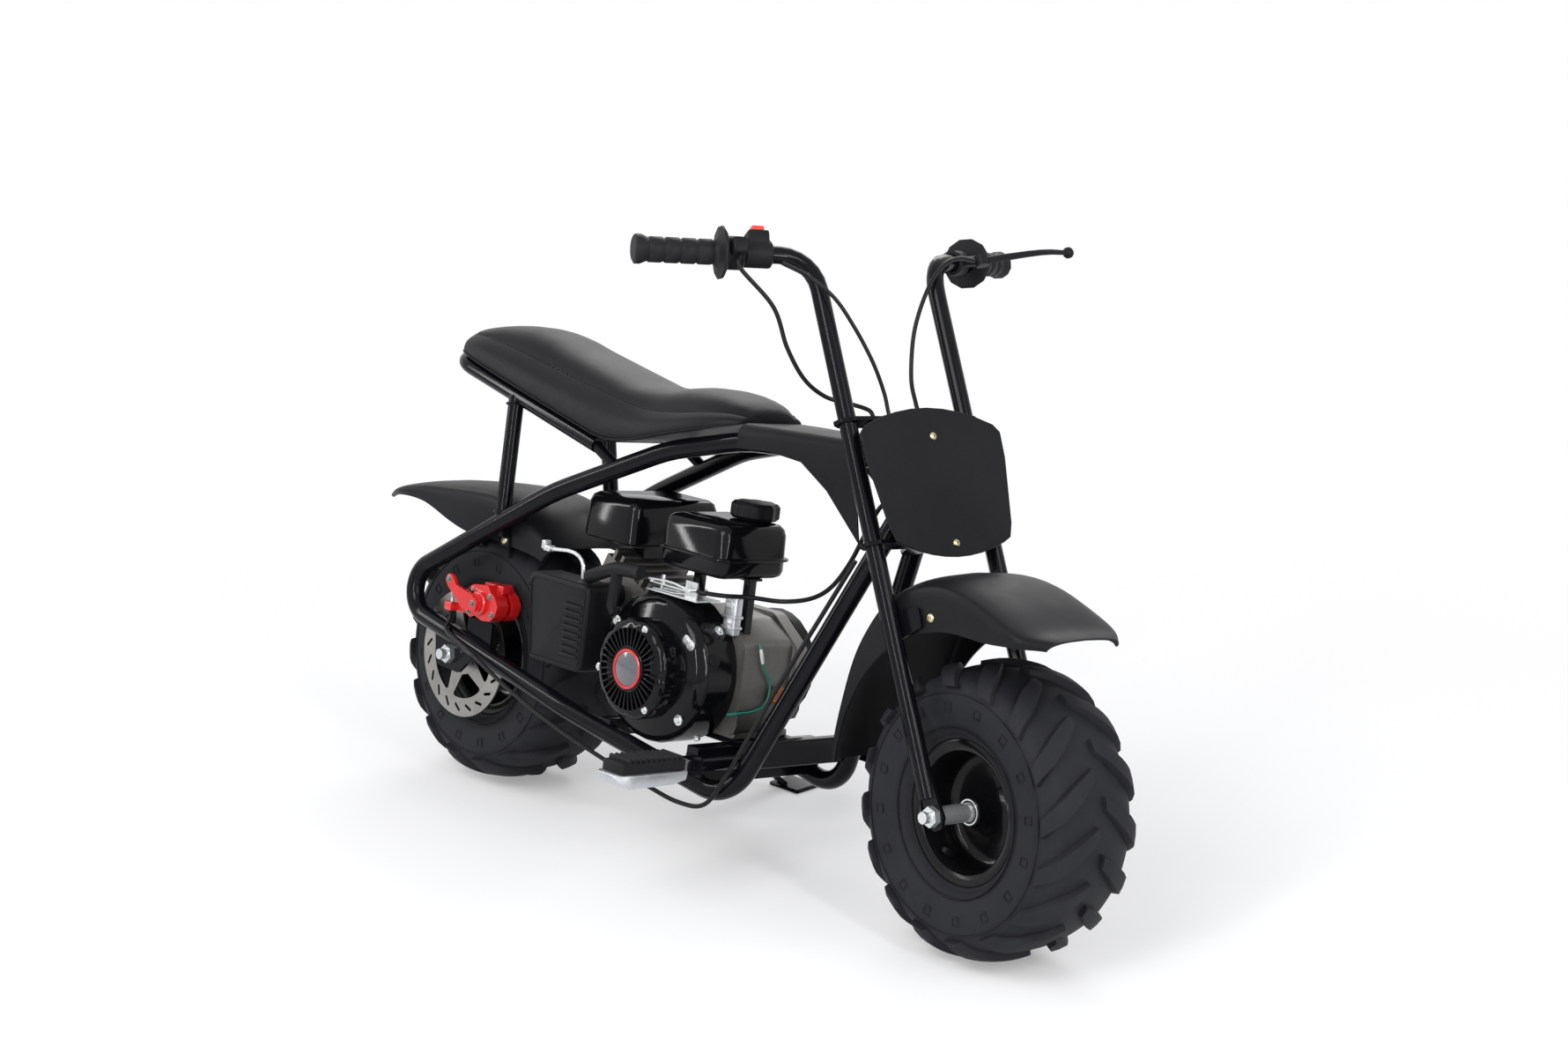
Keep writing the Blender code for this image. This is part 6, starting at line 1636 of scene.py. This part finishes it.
@dataclass
class PegPads:
    """The ridged rubber pads of the two footpegs."""

    width: float = 0.019
    base: float = 0.0125
    rise: float = 0.0166
    half_ridge: float = 0.0026
    ridges: int = 11
    pitch: float = 0.0085
    first: float = 0.0268

    def pad(self, shop: Workshop) -> bmesh.types.BMesh:
        """Return the left pad: a block with a row of rounded ridges across it.

        Args:
            shop: The workshop, whose node tree repeats the ridge.

        Returns:
            The pad in its hinge's frame.
        """
        arc = [math.pi * k / 8 for k in range(9)]
        section = [(self.first + self.half_ridge * math.cos(a), self.rise + 0.0028 * math.sin(a))
                   for a in arc]
        section += [(self.first - self.half_ridge, self.base), (self.first + self.half_ridge, self.base)]
        ridge = prism(section, -self.width, self.width, "yz")
        row = shop.repeats.row(ridge, self.ridges, (0.0, self.pitch, 0.0))
        return gathered(row, block((-self.width, 0.0195, 0.0003), (self.width, 0.1240, 0.0140), 0.0015))

    def build(self, shop: Workshop) -> None:
        """Build both pads.

        Args:
            shop: The workshop that makes the pieces.
        """
        for side, body, name in ((1, Body.PEG_LEFT, "left"), (-1, Body.PEG_RIGHT, "right")):
            hinge = Vector((PEG_HINGE.x, side * PEG_HINGE.y, PEG_HINGE.z))
            pad = self.pad(shop) if side > 0 else mirrored(self.pad(shop))
            shop.piece("footpeg_pad_" + name, pad, "grip_rubber", body,
                       shop.bike @ Matrix.Translation(hinge), ["footpeg_rubber_" + name])


# Mudguards

@dataclass(frozen=True)
class Station:
    """One section of a mudguard: its angle, crown radius, drop, skirt and half width."""

    angle: float
    crown: float
    drop: float
    skirt: float
    half: float


@dataclass
class Mudguard:
    """A curved sheet that follows its wheel, with a crowned top and falling skirts."""

    name: str
    body: Body
    stations: tuple[Station, ...]
    sheet: float = 0.003
    steps: int = 8

    def between(self) -> list[Station]:
        """Return sections at close steps on a smooth curve through the stations."""
        rows = [Vector((s.angle, s.crown, s.drop)) for s in self.stations]
        edges = [Vector((s.skirt, s.half, 0.0)) for s in self.stations]
        count = (len(rows) - 1) * self.steps + 1
        return [Station(a.x, a.y, a.z, max(b.x, 0.002), b.y)
                for a, b in zip(smooth_path(rows, count), smooth_path(edges, count))]

    def across(self, row: Station, inset: float) -> list[tuple[float, float]]:
        """Return one side's section from the skirt's edge to the crown, set in by the sheet.

        Args:
            row: The section's sizes.
            inset: How far it is set in.

        Returns:
            The section as (offset, radius).
        """
        edge = row.crown - row.drop
        low = (row.half - inset, edge - row.skirt, 0.0)
        points = [low, (row.half - inset, edge - inset * 0.5, 0.0),
                  (row.half * 0.88 - inset, edge + row.drop * 0.52 - inset, 0.0),
                  (row.half * 0.55 - inset * 0.5, edge + row.drop * 0.86 - inset, 0.0),
                  (0.0, row.crown - inset, 0.0)]
        return [(point.x, point.y) for point in smooth_path(points, 17)]

    def build(self, shop: Workshop, place: Matrix) -> None:
        """Build and dress the mudguard.

        Args:
            shop: The workshop that makes the pieces.
            place: Its wheel's frame.
        """
        rings = []
        for row in self.between():
            outer, inner = self.across(row, 0.0), self.across(row, self.sheet)
            full_out = outer + [(-y, r) for y, r in reversed(outer[:-1])]
            full_in = inner + [(-y, r) for y, r in reversed(inner[:-1])]
            turn = math.radians(row.angle)
            rings.append([(r * math.cos(turn), y, r * math.sin(turn))
                          for y, r in full_out + full_in[::-1]])
        shop.piece(self.name + "_sheet", loft(rings), "fender_plastic", self.body, place, [self.name], 40.0)


@dataclass
class Mudguards:
    """The front and the rear mudguard."""

    half: float = 0.085

    def build(self, shop: Workshop) -> None:
        """Build both mudguards.

        Args:
            shop: The workshop that makes the pieces.
        """
        half = self.half
        front = (Station(63, 0.262, 0.012, 0.004, half * 0.70), Station(70, 0.256, 0.012, 0.012, half * 0.97),
                 Station(82, 0.264, 0.017, 0.030, half), Station(100, 0.282, 0.020, 0.046, half),
                 Station(118, 0.282, 0.020, 0.046, half), Station(135, 0.261, 0.018, 0.030, half),
                 Station(155, 0.233, 0.014, 0.012, half), Station(176, 0.221, 0.010, 0.006, half * 0.97))
        rear = (Station(50, 0.232, 0.014, 0.016, half), Station(66, 0.236, 0.018, 0.040, half),
                Station(84, 0.237, 0.020, 0.050, half), Station(102, 0.240, 0.020, 0.050, half),
                Station(116, 0.254, 0.018, 0.040, half), Station(128, 0.278, 0.014, 0.020, half * 0.98),
                Station(138, 0.305, 0.010, 0.010, half * 0.90),
                Station(146, 0.330, 0.006, 0.005, half * 0.60))
        Mudguard("front_fender", Body.FORK, front).build(shop, shop.front_hub)
        Mudguard("rear_fender", Body.FRAME, rear).build(shop, shop.rear_hub)


@dataclass
class Caliper:
    """The mechanical caliper: two lobed halves, a boss with its arm, a cable stop and bolts."""

    outer: float = -0.122
    inner: float = -0.080
    disc: float = -0.098
    pad_gap: float = 0.0034
    arm_face: float = -0.1350
    pivot: tuple[float, float] = (0.052, 0.262)

    def build(self, shop: Workshop) -> None:
        """Build the castings, the bolts and the inner wire.

        Args:
            shop: The workshop that makes the pieces.
        """
        lobes = rounded([(0.022, 0.244), (0.034, 0.239), (0.044, 0.243), (0.060, 0.239), (0.078, 0.241),
                         (0.088, 0.250), (0.092, 0.264), (0.084, 0.276), (0.074, 0.282), (0.066, 0.291),
                         (0.046, 0.292), (0.036, 0.286), (0.026, 0.280), (0.020, 0.262)], 0.0036, 5)
        arm = rounded([(0.060, 0.252), (0.062, 0.268), (0.044, 0.275), (0.012, 0.281), (0.003, 0.293),
                       (-0.007, 0.294), (-0.0120, 0.284), (-0.004, 0.275), (0.012, 0.264), (0.030, 0.251)],
                      0.0044, 5)
        boss = [(self.outer + 0.004, 0.0), (self.outer + 0.004, 0.0170), (-0.1262, 0.0170), (-0.1270, 0.0160),
                (-0.1270, 0.0150), (-0.1275, 0.0140), (-0.1305, 0.0140), (-0.1305, 0.0)]
        stop = [(0.000, 0.2425), (0.026, 0.2425), (0.026, 0.256), (0.000, 0.252)]
        cast = gathered(prism(lobes, self.outer, self.disc - self.pad_gap),
                        prism(lobes, self.disc + self.pad_gap, self.inner),
                        block((0.040, -0.106, 0.2785), (0.080, -0.090, 0.2900), 0.0015),
                        shifted(turned(boss, 48), (self.pivot[0], 0.0, self.pivot[1])),
                        prism(arm, self.arm_face, -0.1302),
                        block((-0.0100, -0.1340, 0.2420), (0.0040, -0.1170, 0.2540), 0.0012),
                        prism(stop, self.outer, -0.1165))
        shop.piece("caliper_castings", cast, "caliper_red", Body.FRAME, None, ["brake_caliper"], 32.0,
                   0.0007)
        arm_bolts = (self.pivot, (-0.004, 0.2865))
        case_bolts = ((0.029, 0.2475), (0.081, 0.2505), (0.073, 0.2745), (0.034, 0.2765))
        heads = [((x, self.arm_face + 0.0001, z), (0, -1, 0)) for x, z in arm_bolts]
        heads += [((x, self.outer, z), (0, -1, 0)) for x, z in case_bolts]
        shop.piece("caliper_bolts", shop.repeats.spots(hex_screw(0.0034, 0.0030, 0.0050), heads),
                   "chain_steel", Body.FRAME)
        inner_wire = [(-0.003, -0.1255, 0.2530), (-0.0032, -0.1290, 0.2700), (-0.004, -0.1325, 0.2860)]
        wire = gathered(sweep(inner_wire, 0.0008, 10),
                        rod((-0.003, -0.1260, 0.2535), (-0.003, -0.1262, 0.2600), 0.0024, 16))
        shop.piece("caliper_wire", wire, "zinc_steel", Body.FRAME)


@dataclass
class AirFilter:
    """The air cleaner's louvre hoods, the ridge round its cover and the choke lever's tab."""

    louvres: int = 8
    pitch: float = 0.0095
    face: float = -0.1432

    def build(self, shop: Workshop) -> None:
        """Add the hoods in a row, the ridge and the tab.

        Args:
            shop: The workshop that makes the pieces.
        """
        hood = block((0.2570, -0.1456, 0.2338), (0.2935, -0.1410, 0.2388), 0.0017, 3)
        shop.piece("louvre_hoods", shop.repeats.row(hood, self.louvres, (0, 0, self.pitch)),
                   "matte_plastic", Body.FRAME)
        corners = ((0.196, 0.222, 0.0), (0.182, 0.328, 0.012), (0.296, 0.328, 0.010), (0.296, 0.222, 0.010),
                   (0.200, 0.222, 0.0))
        rim = sweep(bent_path([(x, self.face, z, bend) for x, z, bend in corners]), 0.0011, 10)
        shop.piece("filter_ridge", rim, "matte_plastic", Body.FRAME)
        tab = gathered(block((0.1700, -0.1175, 0.3585), (0.1830, -0.1065, 0.3660), 0.0010),
                       block((0.1655, -0.1175, 0.3605), (0.1725, -0.1065, 0.3720), 0.0010))
        shop.piece("choke_tab", tab, "zinc_steel", Body.FRAME)


ASSEMBLIES = (FrameTubes, Saddle, Cables, Mudguards, Recoil, Brake, Caliper, AirFilter, EngineDetail,
              Hardware, PegPads, Adopted)


# Studio

@dataclass
class Studio:
    """A pale floor under plain soft light, with the camera at the photograph's angle."""

    lens: float = 63.44
    eye: tuple[float, float, float] = (3.0123, -2.5049, 0.8998)
    aim: tuple[float, float, float] = (0.504, 0.0, 0.454)
    floor_half: float = 9.0

    def camera(self, bike: Matrix) -> None:
        """Set the camera from its place in the bike's frame."""
        data = bpy.data.cameras.new("camera")
        data.sensor_width = 36.0
        data.lens = self.lens
        camera = bpy.data.objects.new("camera", data)
        bpy.context.scene.collection.objects.link(camera)
        place = bike @ Vector(self.eye)
        camera.location = place
        camera.rotation_euler = (bike @ Vector(self.aim) - place).to_track_quat("-Z", "Y").to_euler()
        bpy.context.scene.camera = camera

    def lamp(self, name: str, place: Point, aim: Point, size: tuple[float, float], power: float) -> None:
        """Add one soft rectangular lamp.

        Args:
            name: The lamp's name.
            place: Where it stands.
            aim: The point that it faces.
            size: Its width and height.
            power: Its power in watts.
        """
        data = bpy.data.lights.new(name, "AREA")
        data.shape = "RECTANGLE"
        data.size, data.size_y = size
        data.energy = power
        lamp = bpy.data.objects.new(name, data)
        lamp.location = place
        lamp.rotation_euler = (Vector(aim) - Vector(place)).to_track_quat("-Z", "Y").to_euler()
        bpy.context.scene.collection.objects.link(lamp)

    def floor(self) -> None:
        """Add the pale floor, which keeps the bike's shadow and fades to white away from it."""
        shader = Shader("floor")
        shader.feed("Base Color", shader.blend(shader.noise(3.0, 2.0, 0.5), (0.90,) * 3, (0.92,) * 3))
        shader.fix("Roughness", 0.9)
        shader.fix("Specular IOR Level", 0.1)
        painted = Signal(shader, shader.surface.outputs[0])
        reach = shader.node("ShaderNodeVectorMath", {"operation": "LENGTH"}, {0: shader.place}, "Value")
        glow = shader.node("ShaderNodeEmission", {}, {})
        faded = shader.node("ShaderNodeMixShader", {},
                            {0: reach.spread(0.75, 1.9) * 0.72 + 0.28, 1: painted, 2: glow})
        seen = shader.node("ShaderNodeLightPath", {}, {}, "Is Camera Ray")
        shader.finish(shader.node("ShaderNodeMixShader", {}, {0: seen, 1: painted, 2: faded}),
                      "Material Output")
        mesh = bpy.data.meshes.new("floor")
        half = self.floor_half
        mesh.from_pydata([(-half, -half, 0), (half, -half, 0), (half, half, 0), (-half, half, 0)], [],
                         [(0, 1, 2, 3)])
        mesh.materials.append(shader.material)
        floor = bpy.data.objects.new("floor", mesh)
        bpy.context.scene.collection.objects.link(floor)

    def world(self) -> None:
        """Light the scene evenly, with white seen by the camera and in reflections and glass."""
        world = bpy.data.worlds.new("studio")
        world.use_nodes = True
        nodes = Nodes(world.node_tree)
        camera, glossy, through = (nodes.node("ShaderNodeLightPath", {}, {}, "Is %s Ray" % kind)
                                   for kind in ("Camera", "Glossy", "Transmission"))
        plain = nodes.node("ShaderNodeBackground", {}, {"Color": (0.95, 0.97, 1.0, 1.0), "Strength": 0.55})
        white = nodes.node("ShaderNodeBackground", {}, {"Color": (1.0, 1.0, 1.0, 1.0), "Strength": 1.0})
        share = camera.larger(glossy).larger(through)
        nodes.finish(nodes.node("ShaderNodeMixShader", {}, {0: share, 1: plain, 2: white}), "World Output")
        bpy.context.scene.world = world

    def build(self, bike: Matrix) -> None:
        """Set the camera, the lamps, the floor and the world.

        Args:
            bike: The bike's frame, which the camera's place is given in.
        """
        self.camera(bike)
        for lamp in (
                ("key", (0.8, -2.6, 3.0), (0.1, 0.0, 0.4), (1.8, 1.3), 46.0),
                ("front", (3.2, 0.4, 2.2), (0.1, 0.0, 0.4), (1.3, 1.5), 26.0),
                ("back", (-1.6, 2.2, 2.4), (0.0, 0.0, 0.4), (2.0, 1.4), 30.0),
                ("side_strip", (1.0, -3.2, 1.5), (0.1, 0.0, 0.45), (0.22, 2.2), 36.0),
                ("front_strip", (3.3, -0.9, 1.5), (0.1, 0.0, 0.45), (0.22, 2.2), 36.0),
                ("rear_strip", (-2.4, -1.8, 1.8), (0.0, 0.0, 0.45), (0.22, 2.0), 22.0)):
            self.lamp(*lamp)
        self.floor()
        self.world()
        bpy.context.scene.view_settings.view_transform = "Standard"


def main() -> None:
    """Build the whole scene."""
    logging.basicConfig(level=logging.INFO, format="%(message)s")
    shop = Workshop()
    Studio().build(shop.bike)
    Wheel("front", Body.FRONT_WHEEL).build(shop, shop.front_hub)
    Wheel("rear", Body.REAR_WHEEL).build(shop, shop.rear_hub)
    for part in ASSEMBLIES:
        part().build(shop)
    shop.dress()


if __name__ == "__main__":
    main()
